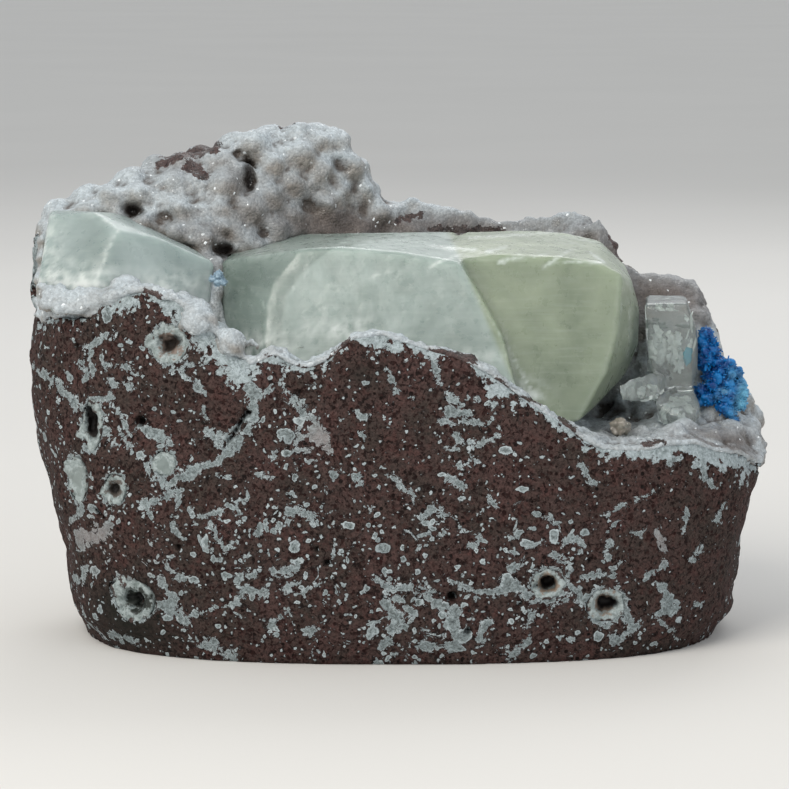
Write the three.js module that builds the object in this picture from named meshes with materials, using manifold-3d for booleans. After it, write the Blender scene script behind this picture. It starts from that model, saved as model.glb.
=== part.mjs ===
// Cavansite specimen: a block of amygdaloidal basalt, ground on its convex front, sawn flat below and
// broken behind, with an opened gas cavity along its top. A sugary zeolite crust lines the cavity, and
// carries calcite crystals and blue cavansite. Millimetres, +Z up, X along the length, the ground front
// towards -Y, and the origin at the middle of the flat base.

import * as THREE from 'three';
import Module from 'manifold-3d';
import { ConvexGeometry } from 'three/addons/geometries/ConvexGeometry.js';
import { LoftGeometry } from 'three/addons/geometries/LoftGeometry.js';
import { ImprovedNoise } from 'three/addons/math/ImprovedNoise.js';
import { mergeVertices } from 'three/addons/utils/BufferGeometryUtils.js';

const wasm = await Module();
wasm.setup();

// Driving dimensions

const gap = 0.3; // clearance between pieces that touch
const outlinePower = 2.6; // squareness of the block's plan: 2 is an ellipse, more is a fuller corner
const outlinePoints = 44; // around the block
const blockLevels = 12; // up the block
const blockTop = 99; // the loft runs past the tallest crest, and the top surface trims it
const topCell = 4.7; // spacing of the top surface's points
const frontRoughness = 0.5; // relief of the ground front
const backRoughness = 2.4; // relief of the broken back and ends
const levelCrowding = 1.15; // the levels stand closer together near the base
const crustThickness = 2; // crust on the lips of the cavity
const crustInside = 1.4; // how much thicker the crust is inside
const moundThickness = 2.4; // how much thicker again it is on the mound at the left rear
const crustDrop = 0.8; // how far the crust's surface runs below the basalt where there is no crust
const coarseLumps = { height: 0.8, size: 6 }; // on the basalt's top
const fineLumps = { height: 0.6, size: 3.5 };
const patchyLumps = { height: 0.9, size: 5 }; // in the crust's thickness
const lipFall = [3.5, 13]; // behind the front face, where the lip begins and ends its fall to the floor
const wallRoundness = 0.85; // how quickly the rear wall rises from the floor
const crestWidth = 3; // the crest is level for this far
const backSlope = 0.09; // fall of the broken slope behind the crest
const backCurve = 1.9; // how that slope steepens
const crustThickening = [2, 8]; // behind the front face, where the crust begins and ends its thickening
const moundLeft = [4, 12]; // left of the middle, where the mound begins and is full
const moundDepth = [-8, 0]; // from the front to the back, where the mound begins and is full
const crustFade = 5; // the crust ends over this distance behind the crest
const lobeSize = 10; // rounded lobes of the crust
const lobeHeight = 0.5;
const moundLobeHeight = 1.3; // how much higher they are on the mound
const lobeSharpness = 4;
const trimWidth = 156; // the body below a top surface reaches past the block on every side
const trimDepth = 90;
const trimBase = -6;
const pitSides = 10;
const pitRings = 6;

// The block's half-extents at each height: [height, left, right, front, back]
const blockProfile = [
  [0, 57.5, 60.5, 34.4, 32],
  [2.5, 60, 62.8, 35.4, 34],
  [8, 61.9, 64.4, 36.2, 35.5],
  [15, 62.2, 65.6, 36.6, 36.5],
  [26, 65, 68, 36.9, 37.4],
  [37, 67.1, 70.2, 36.6, 37.6],
  [49, 68.6, 68.6, 35.6, 37],
  [58, 69, 65.6, 34.6, 36],
  [66, 67.6, 63.4, 33.6, 35],
  [76, 67, 62, 32.6, 33],
  [99, 65, 60, 31, 31],
];

// Top of the basalt along the front lip: [x, height]
const lipHeight = curve([
  [-69, 57.5], [-61, 61.5], [-55, 64], [-46.5, 66.5], [-42, 66], [-37.5, 64.5], [-31, 57.5],
  [-26.5, 53.5], [-21, 55.5], [-15.5, 53], [-9, 57.5], [-5, 59.5], [6, 56.5], [16, 53], [27, 45],
  [37, 38.5], [46, 38], [52, 39], [62, 33.5], [70, 32.5],
]);

// Top of the basalt along the crest of the rear wall, and how far back that crest lies: [x, height, y]
const crest = curve([
  [-70, 70, 2], [-66, 77, 4], [-62, 79.5, 9], [-56, 81.5, 12], [-50, 83.5, 16], [-42, 86, 19],
  [-35, 88.5, 21], [-26, 91.5, 22], [-19, 92.8, 22], [-11.5, 91.5, 22], [-7.5, 87, 23], [-4, 80.5, 24],
  [2, 78.3, 25], [8, 76.8, 26], [15, 76, 27], [27, 74.6, 27], [33, 76, 26], [38.5, 75.4, 24],
  [42.5, 72.5, 21], [46, 65.6, 19], [50, 64, 20], [58, 63.2, 20], [62, 60.2, 17], [64.5, 50, 12],
  [67, 42, 6], [70, 35, 2],
]);

// Floor of the cavity in the basalt, and where the rear wall begins to rise: [x, height, y]
const floor = curve([
  [-70, 54, -12], [-56, 60, -9], [-42, 60.5, -8], [-33, 57, -7], [-25, 44, -2], [-15, 40, 8], [0, 38, 15],
  [30, 37, 15], [42, 36, 8], [50, 36.5, 2], [58, 37, -3], [65, 35, -5], [70, 31, -4],
]);

// Deep pits in the crust, each centred on its surface: [x, y, radius]
const crustPits = [
  [-27.7, 10.7, 3.4], [-49.6, -0.2, 2.8], [-32.1, -0.8, 3], [-9.6, 16.2, 2.8], [-14.4, 16.4, 2],
  [60.8, -13.8, 1.8],
];

// Corners of the crystals
const leftCalcite = [
  [-64.5, -6, 79.7], [-55.7, -10.3, 80.6], [-51.2, -16, 77.8], [-42.6, -12.9, 75.7], [-33.5, -11, 71.3],
  [-65.9, -18.6, 66.9], [-62.1, -23.9, 63], [-55.6, -24.5, 64.5], [-45, -21, 62.5], [-34, -14, 63],
  [-65, 0, 80.2], [-52, 1, 79.5], [-37.5, -2, 72.8], [-66, -2, 63], [-50, 1, 62.5], [-37.5, -2, 62],
];
const mintCalcite = [
  [-23.4, -21.6, 63.9], [-22, -19.6, 68.3], [-17.1, -17, 74.4], [-10, -17.1, 74.8], [1, -17.8, 73.9],
  [12, -19, 72.2], [15.7, -21.7, 66.4], [20.2, -25.3, 58.5], [22.8, -29.4, 48.1], [22, -29, 43],
  [-23.8, -26.8, 51.4], [-32.2, -8, 71.3], [-32.5, -12, 60], [-31, -12, 50], [-30.5, 8, 71.8],
  [-18.3, 14, 74.4], [12, 15, 74.7], [-29, 9, 50], [12, 15, 44], [-20, -22, 44],
];
const yellowCalcite = [
  [8.4, -16.3, 71.9], [19.5, -15.2, 73.2], [30.7, -14.2, 72.6], [38.1, -13.7, 71.6], [42.2, -14.2, 69.3],
  [41.3, -17.7, 59.4], [38.8, -20.8, 51.4], [34.1, -24, 43.4], [27.6, -25.3, 41.5], [19, -26, 42],
  [44.9, -2, 67], [46.5, -2, 61.3], [46.3, -2, 54.7], [44.1, -3, 49.5], [39, -4, 44.1], [24.3, 15, 75],
  [32, 15, 74.7], [39.7, 14, 73.1], [44.4, 9, 68.8], [38, 13, 48], [12, 14, 45], [13.5, 13, 74.8],
  [10, -4, 74],
];
const clearBlock = [
  [46.9, -8, 63.1], [55, -8.5, 63.3], [56.9, -7, 58], [57.3, -6, 50], [55.5, -9, 45.5], [48.5, -9.5, 47],
  [47.6, -9, 56], [48, 3, 63.8], [55.5, 3, 63.6], [57.5, 2, 56], [56, 2, 46], [48.5, 2, 46],
];
const clearRound = [
  [48.8, -12, 45.4], [52, -15, 43], [56, -14, 42.5], [57.5, -10, 44.5], [56.5, -8, 46.8], [50, -8, 47.4],
  [50.8, -13.5, 40.2], [56, -13, 40.2], [57.8, -8, 40.6], [50, -5, 40.4], [57, -4, 45],
];
const clearTongue = [
  [41, -21.5, 49.4], [41.8, -21.5, 46.5], [49.6, -12, 45.2], [50.6, -11, 49.6], [47.8, -13, 50.8],
  [43.2, -19.5, 50.5], [43.2, -18.6, 46.4], [50.5, -7, 46], [50, -7, 50],
];
const knob = [
  [39.6, -21.7, 42.2], [42.1, -22.8, 43.1], [44.1, -20.6, 41.9], [41.2, -19.8, 43.4], [42.7, -22.6, 40.4],
  [40.2, -22.2, 40.3], [41.4, -19.2, 40.4], [43.6, -20, 40.5],
];

// Rosettes of the blue cluster, and of the tiny spray: [x, y, z, radius]
const clusterRosettes = [
  [60, -4.2, 55.4, 2.3], [61.2, -4, 51.9, 2.9], [62.6, -4.4, 48.6, 3], [60.6, -4.4, 46.8, 2.6],
  [64.9, -4.4, 46.6, 2.9], [62, -5.6, 43.8, 2.6], [65.6, -5, 43, 2.5], [63.8, -6, 40.8, 2.1],
  [66, -4.2, 49.2, 1.8],
];
const sprayRosettes = [
  [-33, -16.4, 66.6, 1.5], [-31, -16, 68.2, 1.3],
];

// The largest fillings of gas bubbles in the ground front. Each is centred on the face at x, z, with
// half-sizes across, into the rock and up, and turned in the plane of the face; hollow is the open share.
const amygdules = [
  { name: 'amygdule_ring', x: -40.9, z: 58.4, across: 3.6, into: 4, up: 3.6, turn: 0, hollow: 0.42 },
  { name: 'amygdule_slot', x: -55.4, z: 42.8, across: 2.1, into: 3.6, up: 5, turn: 8, hollow: 0.5 },
  { name: 'amygdule_spherulite', x: -58.8, z: 32.1, across: 2.6, into: 2.2, up: 4.7, turn: 4, hollow: 0 },
  { name: 'amygdule_oval', x: -51.2, z: 31.2, across: 2.3, into: 2.4, up: 3.1, turn: 20, hollow: 0.42 },
  { name: 'amygdule_nodule', x: -41.9, z: 36.7, across: 2.3, into: 2.2, up: 2.2, turn: -15, hollow: 0 },
  { name: 'amygdule_hollow_left', x: -48.4, z: 10.6, across: 5, into: 3.2, up: 3.8, turn: 10, hollow: 0.6 },
  { name: 'amygdule_hollow_mid', x: 27.9, z: 15, across: 3.1, into: 4, up: 2.9, turn: 0, hollow: 0.66 },
  { name: 'amygdule_hollow_right', x: 38.7, z: 10.6, across: 3.7, into: 3.8, up: 3.3, turn: 0, hollow: 0.6 },
];
const bubbleSides = 10;
const bubbleRings = 6;

// Smooth curves through listed points: the first number is the position, the rest are values
function curve(points) {
  const positions = points.map((point) => point[0]);
  const values = points.flatMap((point) => point.slice(1));
  const interpolant = new THREE.CubicInterpolant(positions, values, points[0].length - 1);
  return (position) => [...interpolant.evaluate(position)];
}

const blockExtents = curve(blockProfile);
const noise = new ImprovedNoise();

// Rounded relief between -1 and 1, with lumps about a given size across
function relief(x, y, z, size) {
  return noise.noise(x / size + 7.3, y / size + 2.1, z / size + 4.7);
}

function smooth(value, from, to) {
  return THREE.MathUtils.smoothstep(value, from, to);
}

// Solids for joining and cutting

function toSolid(geometry) {
  const bare = new THREE.BufferGeometry().copy(geometry);
  bare.deleteAttribute('normal');
  bare.deleteAttribute('uv');
  const merged = mergeVertices(bare, 1e-5);
  const vertProperties = Float32Array.from(merged.attributes.position.array);
  const triVerts = Uint32Array.from(merged.index.array);
  return new wasm.Manifold(new wasm.Mesh({ numProp: 3, vertProperties, triVerts }));
}

function toGeometry(solid) {
  const mesh = solid.getMesh();
  const geometry = new THREE.BufferGeometry();
  geometry.setAttribute('position', new THREE.BufferAttribute(mesh.vertProperties, 3));
  geometry.setIndex(new THREE.BufferAttribute(mesh.triVerts, 1));
  return geometry;
}

// The block's bare outline, before its top is shaped

function outlineReach(angle, extents) {
  const [left, right, front, back] = extents;
  const along = Math.cos(angle) < 0 ? left : right;
  const deep = Math.sin(angle) < 0 ? front : back;
  const across = Math.abs(Math.cos(angle) / along) ** outlinePower;
  const through = Math.abs(Math.sin(angle) / deep) ** outlinePower;
  return (across + through) ** (-1 / outlinePower);
}

function blockSection(height) {
  const extents = blockExtents(height);
  const section = [];
  for (let i = 0; i < outlinePoints; i++) {
    const turn = (i / outlinePoints) * Math.PI * 2;
    const angle = Math.atan2(Math.sin(turn) * extents[2], Math.cos(turn) * extents[0]);
    const reach = outlineReach(angle, extents);
    const x = Math.cos(angle) * reach;
    const y = Math.sin(angle) * reach;
    const front = smooth(-Math.sin(turn), 0.1, 0.6);
    const rough = THREE.MathUtils.lerp(backRoughness, frontRoughness, front);
    const lumps = relief(x, y, height, 15) + 0.5 * relief(x, y, height, 7);
    const grown = 1 + (rough * lumps) / reach;
    section.push(new THREE.Vector3(x * grown, y * grown, height));
  }
  return section;
}

function blockOutline() {
  const sections = [];
  for (let i = 0; i <= blockLevels; i++) {
    sections.push(blockSection(blockTop * (i / blockLevels) ** levelCrowding));
  }
  return toSolid(new LoftGeometry(sections, { capStart: true, capEnd: true }));
}

// How far forward the front face stands at a place along the block and a height
function frontFace(x, height) {
  const [left, right, front] = blockExtents(height);
  const share = Math.min(Math.abs(x) / (x < 0 ? left : right), 1);
  return -front * (1 - share ** outlinePower) ** (1 / outlinePower);
}

// The basalt's top: front lip, floor of the cavity, rear wall, crest and the slope behind it
function basaltTop(x, y) {
  const [lip] = lipHeight(x);
  const [floorZ, footY] = floor(x);
  const [crestZ, crestY] = crest(x);
  const inward = y - frontFace(x, lip);
  const rise = THREE.MathUtils.clamp((y - footY) / (crestY - footY), 0, 1);
  const wall = floorZ + (crestZ - floorZ) * Math.sin((rise * Math.PI) / 2) ** wallRoundness;
  const basin = THREE.MathUtils.lerp(lip, floorZ, smooth(inward, ...lipFall));
  const behind = Math.max(y - crestY - crestWidth, 0);
  const coarse = coarseLumps.height * relief(x, y, 0, coarseLumps.size);
  const fine = fineLumps.height * relief(x, y, 30, fineLumps.size);
  return Math.max(basin, wall) - backSlope * behind ** backCurve + coarse + fine;
}

// The crust on it: thin on the lips, thick inside and on the mound, and gone behind the crest
function crustTop(x, y) {
  const [lip] = lipHeight(x);
  const [, footY] = floor(x);
  const [, crestY] = crest(x);
  const inward = y - frontFace(x, lip);
  const inside = smooth(inward, ...crustThickening);
  const belowCrest = 1 - smooth(y, (footY + crestY) / 2, crestY);
  const mound = smooth(-x, ...moundLeft) * smooth(y, ...moundDepth) * belowCrest;
  const present = 1 - smooth(y, crestY, crestY + crustFade);
  const patchy = patchyLumps.height * relief(x, y, 60, patchyLumps.size);
  const rounded = 1 - Math.abs(relief(x, y, 90, lobeSize)) * lobeSharpness;
  const lobes = rounded * (lobeHeight + moundLobeHeight * mound) * inside;
  const even = crustThickness + crustInside * inside * belowCrest + moundThickness * mound;
  return basaltTop(x, y) + (even + patchy + lobes + crustDrop) * present - crustDrop;
}

// Everything below a surface, as one solid with a flat underside
function belowSurface(surface, lift) {
  const columns = Math.round(trimWidth / topCell);
  const rows = Math.round(trimDepth / topCell);
  const geometry = new THREE.BoxGeometry(trimWidth, trimDepth, 1, columns, rows, 1);
  const position = geometry.attributes.position;
  for (let i = 0; i < position.count; i++) {
    const x = position.getX(i);
    const y = position.getY(i);
    position.setZ(i, position.getZ(i) > 0 ? surface(x, y) + lift : trimBase);
  }
  return toSolid(geometry);
}

// Convex crystals

function crystal(corners) {
  return toSolid(new ConvexGeometry(corners.map((corner) => new THREE.Vector3(...corner))));
}

// The same crystal with clearance all round, for cutting its seat
function crystalSeat(corners) {
  const spread = [-gap, gap];
  const points = [];
  for (const [x, y, z] of corners) {
    for (const dx of spread) {
      for (const dy of spread) {
        for (const dz of spread) {
          points.push([x + dx, y + dy, z + dz]);
        }
      }
    }
  }
  return crystal(points);
}

// A ball of blades: every other corner of an icosphere stands proud
function rosette([x, y, z, radius], clearance) {
  const ball = new THREE.IcosahedronGeometry(radius + clearance, 1);
  const position = ball.attributes.position;
  const corner = new THREE.Vector3();
  for (let i = 0; i < position.count; i++) {
    corner.fromBufferAttribute(position, i).normalize();
    const proud = clearance > 0 ? 1 : 0.86 + 0.14 * Math.sign(relief(corner.x, corner.y, corner.z, 0.31));
    corner.multiplyScalar(proud * (radius + clearance));
    position.setXYZ(i, corner.x + x, corner.y + y, corner.z + z);
  }
  return toSolid(ball);
}

function rosettes(list, clearance) {
  return list.map((entry) => rosette(entry, clearance)).reduce((all, one) => all.add(one));
}

// A filled bubble in the front face
function bubble(entry, growth, scale) {
  const shape = new THREE.SphereGeometry(1, bubbleSides, bubbleRings);
  shape.scale(entry.across * scale + growth, entry.into * scale + growth, entry.up * scale + growth);
  shape.rotateY(THREE.MathUtils.degToRad(entry.turn));
  shape.translate(entry.x, frontFace(entry.x, entry.z), entry.z);
  return toSolid(shape);
}

function amygdule(entry, outline) {
  const filled = bubble(entry, 0, 1).intersect(outline);
  return entry.hollow > 0 ? filled.subtract(bubble(entry, 0, entry.hollow)) : filled;
}

// Assembly

const outline = blockOutline();
const crystalLists = [leftCalcite, mintCalcite, yellowCalcite, clearBlock, clearRound, clearTongue, knob];
const seats = crystalLists
  .map((corners) => crystalSeat(corners))
  .reduce((all, one) => all.add(one))
  .add(rosettes(clusterRosettes, gap))
  .add(rosettes(sprayRosettes, gap));
const pits = crustPits
  .map(([x, y, radius]) => {
    const ball = new THREE.SphereGeometry(radius, pitSides, pitRings);
    return toSolid(ball.translate(x, y, crustTop(x, y)));
  })
  .reduce((all, one) => all.add(one));
const pockets = amygdules.map((entry) => bubble(entry, gap, 1)).reduce((all, one) => all.add(one));

const basalt = outline.intersect(belowSurface(basaltTop, 0)).subtract(seats).subtract(pockets);
const crust = outline
  .intersect(belowSurface(crustTop, 0))
  .subtract(belowSurface(basaltTop, gap))
  .subtract(seats)
  .subtract(pits);
const clearSolid = crystal(clearBlock).add(crystal(clearRound)).add(crystal(clearTongue));
const mainSolid = crystal(mintCalcite).add(crystal(yellowCalcite));

// The largest body of a cut solid: thin slivers that the cut leaves at the edges are dropped
function largest(solid) {
  return solid.decompose().reduce((best, one) => (one.volume() > best.volume() ? one : best));
}

const pieces = [
  { name: 'basalt_matrix', solid: largest(basalt), color: 0x453532, roughness: 0.85 },
  { name: 'zeolite_druse', solid: largest(crust), color: 0xa9a39d, roughness: 0.55 },
  { name: 'calcite_left', solid: crystal(leftCalcite), color: 0x97a89c, roughness: 0.25 },
  { name: 'calcite_main', solid: mainSolid, color: 0x93a490, roughness: 0.25 },
  { name: 'calcite_clear', solid: clearSolid, color: 0xb4c0bc, roughness: 0.08 },
  { name: 'calcite_knob', solid: crystal(knob), color: 0xa9aca0, roughness: 0.4 },
  { name: 'cavansite_cluster', solid: rosettes(clusterRosettes, 0), color: 0x0b5fb5, roughness: 0.45 },
  { name: 'cavansite_spray', solid: rosettes(sprayRosettes, 0), color: 0x7fa6c4, roughness: 0.45 },
  ...amygdules.map((entry) => ({
    name: entry.name,
    solid: amygdule(entry, outline),
    color: 0x98a8a4,
    roughness: 0.6,
  })),
];

const specimen = new THREE.Group();
for (const { name, solid, color, roughness } of pieces) {
  const material = new THREE.MeshStandardMaterial({ color, roughness, metalness: 0 });
  const mesh = new THREE.Mesh(toGeometry(solid), material);
  mesh.name = name;
  specimen.add(mesh);
}

// The origin goes to the middle of the flat base
const bounds = new THREE.Box3().setFromObject(specimen);
const middle = bounds.getCenter(new THREE.Vector3());
specimen.position.set(-middle.x, -middle.y, -bounds.min.z);

const group = new THREE.Group();
group.add(specimen);

export default group;
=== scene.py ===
import math
import random

import bmesh
import bpy
import numpy as np
from mathutils import Matrix, Vector, noise
from mathutils.bvhtree import BVHTree


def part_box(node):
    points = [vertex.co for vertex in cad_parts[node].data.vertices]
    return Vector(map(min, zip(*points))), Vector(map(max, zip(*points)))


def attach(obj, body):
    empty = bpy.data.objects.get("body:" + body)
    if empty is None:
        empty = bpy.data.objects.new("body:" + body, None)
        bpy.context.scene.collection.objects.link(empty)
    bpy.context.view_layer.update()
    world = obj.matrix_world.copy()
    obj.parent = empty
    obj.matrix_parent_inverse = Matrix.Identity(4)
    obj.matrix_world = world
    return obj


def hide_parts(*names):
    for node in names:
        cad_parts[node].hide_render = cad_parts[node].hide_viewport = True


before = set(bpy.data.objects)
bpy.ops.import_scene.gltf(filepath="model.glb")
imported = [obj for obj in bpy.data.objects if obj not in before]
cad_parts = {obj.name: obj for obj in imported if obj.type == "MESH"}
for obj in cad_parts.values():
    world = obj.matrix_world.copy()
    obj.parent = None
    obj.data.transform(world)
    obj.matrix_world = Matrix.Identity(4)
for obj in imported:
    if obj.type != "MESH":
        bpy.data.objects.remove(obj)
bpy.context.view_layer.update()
print("frame loaded:", len(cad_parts), "nodes")

mm = 0.001


def toLinear(hexColour):  # an sRGB hex colour as the linear values that sockets take
    channels = [int(hexColour[i:i + 2], 16) / 255 for i in (1, 3, 5)]
    return [c / 12.92 if c <= 0.04045 else ((c + 0.055) / 1.055) ** 2.4 for c in channels] + [1.0]


def setNode(tree, node, settings=None, links=None):  # a node's own settings, socket values and links
    for key, value in (settings or {}).items():
        if isinstance(key, int) or key in node.inputs:
            node.inputs[key].default_value = value
        else:
            setattr(node, key, value)
    for key, source in (links or {}).items():
        tree.links.new(source, node.inputs[key])
    return node


def addNode(tree, kind, settings=None, links=None):
    return setNode(tree, tree.nodes.new(kind), settings, links)


def newMaterial(name):  # with the object's own coordinates in millimetres, for patterns of real sizes
    material = bpy.data.materials.new(name)
    material.use_nodes = True
    tree = material.node_tree
    place = addNode(tree, "ShaderNodeTexCoord")
    inMm = addNode(tree, "ShaderNodeVectorMath", {"operation": "SCALE", "Scale": 1000.0},
                   {0: place.outputs["Object"]})
    return material, tree, tree.nodes["Principled BSDF"], inMm.outputs[0]


# camera, light and floor
view = {
    "rise": math.radians(8.0),  # how far above level the camera looks down from
    "distance": 0.65,
    "aim": Vector((-0.0009, -0.0009, 0.0449)),
    "frameWidth": 0.1503,  # what the frame spans at the aim point
    "pixels": 789,
    "sensor": 36.0,
}
viewForward = Vector((0, math.cos(view["rise"]), -math.sin(view["rise"])))
viewUp = Vector((0, math.sin(view["rise"]), math.cos(view["rise"])))
viewFrom = view["aim"] - viewForward * view["distance"]
mmPerPixel = view["frameWidth"] / view["pixels"] / mm


def makeCamera():
    data = bpy.data.cameras.new("camera")
    data.sensor_width = view["sensor"]
    data.lens = view["sensor"] * view["distance"] / view["frameWidth"]
    data.clip_end = 40
    camera = bpy.data.objects.new("camera", data)
    camera.location = viewFrom
    camera.rotation_euler = (math.pi / 2 - view["rise"], 0, 0)
    bpy.context.scene.collection.objects.link(camera)
    bpy.context.scene.camera = camera


def pixelRay(x, y):  # the direction that a pixel of the square frame looks along
    step = view["frameWidth"] / view["distance"] / view["pixels"]
    middle = view["pixels"] / 2
    return (viewForward + Vector((1, 0, 0)) * (x - middle) * step + viewUp * (middle - y) * step).normalized()


def pixelHit(tree, x, y):
    return tree.ray_cast(viewFrom, pixelRay(x, y))[:2]


def pixelPlace(x, y, depth):  # the point behind a pixel that lies this far back, in mm
    ray = pixelRay(x, y)
    return viewFrom + ray * ((depth * mm - viewFrom.y) / ray.y)


def toPixels(points):  # where points, as an array in metres, fall in the square frame
    offset = points - np.array(viewFrom)
    depth = offset @ np.array(viewForward)
    scale = view["distance"] / view["frameWidth"] * view["pixels"] / depth
    x = view["pixels"] / 2 + offset[:, 0] * scale
    y = view["pixels"] / 2 - offset @ np.array(viewUp) * scale
    return x, y


studio = {
    "key": {"at": (-0.35, -0.50, 0.62), "size": 0.5, "power": 4.4, "colour": "#fffaf2"},
    "fill": {"at": (0.65, -0.60, 0.30), "size": 0.7, "power": 1.2, "colour": "#f4f7ff"},
    "back": {"at": (0.15, 0.60, 0.60), "size": 0.5, "power": 1.6, "colour": "#ffffff"},
    "air": "#e4e7ea",
    "airStrength": 0.78,
    "floorSize": 16.0,
}


def makeStudio():
    for name in ("key", "fill", "back"):
        spec = studio[name]
        data = bpy.data.lights.new(name, "AREA")
        data.size = spec["size"]
        data.energy = spec["power"]
        data.color = toLinear(spec["colour"])[:3]
        light = bpy.data.objects.new(name, data)
        light.location = spec["at"]
        towards = view["aim"] - Vector(spec["at"])
        light.rotation_euler = towards.to_track_quat("-Z", "Y").to_euler()
        bpy.context.scene.collection.objects.link(light)
    world = bpy.data.worlds.new("studioAir")
    bpy.context.scene.world = world
    world.use_nodes = True
    air = world.node_tree.nodes["Background"]
    air.inputs["Color"].default_value = toLinear(studio["air"])
    air.inputs["Strength"].default_value = studio["airStrength"]
    bm = bmesh.new()
    bmesh.ops.create_grid(bm, x_segments=1, y_segments=1, size=studio["floorSize"])
    material, tree, shader, inMm = newMaterial("paleMattPaper")
    mottle = addNode(tree, "ShaderNodeTexNoise", {"Scale": 0.006, "Detail": 2.0}, {"Vector": inMm})
    paper = addNode(tree, "ShaderNodeMix",
                    {"data_type": "RGBA", 6: toLinear("#dad8d4"), 7: toLinear("#e0deda")},
                    {0: mottle.outputs[0]})
    setNode(tree, shader, {"Roughness": 0.9}, {"Base Color": paper.outputs[2]})
    mesh = bpy.data.meshes.new("floor")
    bm.to_mesh(mesh)
    bm.free()
    mesh.materials.append(material)
    floor = bpy.data.objects.new("floor", mesh)
    bpy.context.scene.collection.objects.link(floor)


makeCamera()
makeStudio()
bpy.context.scene.view_settings.view_transform = "Standard"
print("camera, lights and floor made")


# shared mesh steps
def mergedCopy(*nodeNames):  # CAD meshes are loose triangles, so a copy is merged before it is reshaped
    bm = bmesh.new()
    for nodeName in nodeNames:
        bm.from_mesh(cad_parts[nodeName].data)
    bmesh.ops.remove_doubles(bm, verts=bm.verts, dist=1e-6)
    return bm


def meshOf(bm, name):
    mesh = bpy.data.meshes.new(name)
    bm.to_mesh(mesh)
    bm.free()
    return mesh


def addShape(whole, shape):  # shapes made apart and then added stay quick, however large the whole grows
    mesh = meshOf(shape, "shape")
    whole.from_mesh(mesh)
    bpy.data.meshes.remove(mesh)


def remeshed(bm, name, voxel):  # one closed skin of even quads round everything in the bmesh
    piece = bpy.data.objects.new(name, meshOf(bm, name + "Rough"))
    bpy.context.scene.collection.objects.link(piece)
    modifier = piece.modifiers.new("remesh", "REMESH")
    modifier.mode = "VOXEL"
    modifier.voxel_size = voxel
    evaluated = piece.evaluated_get(bpy.context.evaluated_depsgraph_get())
    mesh = bpy.data.meshes.new_from_object(evaluated)
    loose = piece.data
    bpy.data.objects.remove(piece)
    bpy.data.meshes.remove(loose)
    mesh.name = name
    return mesh


def readPoints(mesh, kind="co"):
    values = np.zeros(len(mesh.vertices) * 3)
    mesh.vertices.foreach_get(kind, values)
    return values.reshape(-1, 3)


def readNormals(mesh):
    return readPoints(mesh, "normal")


def writePoints(mesh, points):
    mesh.vertices.foreach_set("co", points.reshape(-1))
    mesh.update()


def relaxed(mesh, points, rounds, share=0.5):  # each point moves towards the mean of its neighbours
    edges = np.zeros(len(mesh.edges) * 2, dtype=np.int64)
    mesh.edges.foreach_get("vertices", edges)
    ends = edges.reshape(-1, 2)
    count = np.bincount(edges, minlength=len(points))[:, None].clip(1)
    for _ in range(rounds):
        total = np.zeros_like(points)
        for axis in range(3):
            total[:, axis] += np.bincount(ends[:, 0], points[ends[:, 1], axis], len(points))
            total[:, axis] += np.bincount(ends[:, 1], points[ends[:, 0], axis], len(points))
        points = points * (1 - share) + total / count * share
    return points


def pushed(points, directions, distances):  # each point moved along its direction, or all along the same one
    return points + np.asarray(directions) * distances[:, None]


def awayFrom(surface, points):  # how far each point is from a surface, in mm
    return np.array([surface.find_nearest(Vector(p))[3] for p in points]) / mm


def along(line, values):  # the second number of a line's points, read where the first has these values
    return np.interp(values, *zip(*line))


def rough(points, size, octaves, seed):  # fractal relief from about -1 to 1, with lumps of a size in metres
    shift = Vector((seed, seed * 1.7, seed * 0.6))
    return np.array([noise.fractal(Vector(p) / size + shift, 1.0, 2.1, octaves) for p in points])


def cells(points, size, seed):  # distance to the nearest and next cell point, in cell sizes
    shift = Vector((seed, seed * 0.7, seed * 1.3))
    return np.array([noise.voronoi(Vector(p) / size + shift)[0][:2] for p in points])


def smoothStep(values, low, high):
    share = np.clip((values - low) / (high - low), 0, 1)
    return share * share * (3 - 2 * share)


farOutside = -9.0  # a depth in mm that no pattern reaches


def strokeDepth(points, strokes, slim=1.0):  # how deep inside a stroke each point is, in mm, from the front
    x, y = toPixels(points)
    inside = np.full(len(points), farOutside)
    for x0, y0, x1, y1, w0, w1 in strokes:
        dx, dy = x1 - x0, y1 - y0
        share = np.clip(((x - x0) * dx + (y - y0) * dy) / (dx * dx + dy * dy), 0, 1)
        away = np.hypot(x - x0 - share * dx, y - y0 - share * dy) * mmPerPixel
        inside = np.maximum(inside, slim * (w0 + (w1 - w0) * share) - away)
    return inside


def patches(points, spots):  # soft round patches: pixel across and down, half-sizes in pixels, strength
    x, y = toPixels(points)
    total = np.zeros(len(points))
    for cx, cy, halfX, halfY, strength in spots:
        total += strength * np.exp(-((x - cx) / halfX) ** 2 - ((y - cy) / halfY) ** 2)
    return total


def addAttribute(mesh, name, values):
    attribute = mesh.attributes.new(name, "FLOAT", "POINT")
    attribute.data.foreach_set("value", np.asarray(values, dtype=np.float32))


def finishPiece(mesh, name, material, replaced=(), smooth=True):
    mesh.materials.clear()
    mesh.materials.append(material)
    mesh.polygons.foreach_set("use_smooth", [smooth] * len(mesh.polygons))
    mesh.update()
    piece = bpy.data.objects.new(name, mesh)
    bpy.context.scene.collection.objects.link(piece)
    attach(piece, "root")
    if replaced:
        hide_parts(*replaced)
    print(name, "made,", sum(len(p.vertices) - 2 for p in mesh.polygons), "triangles")


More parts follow.
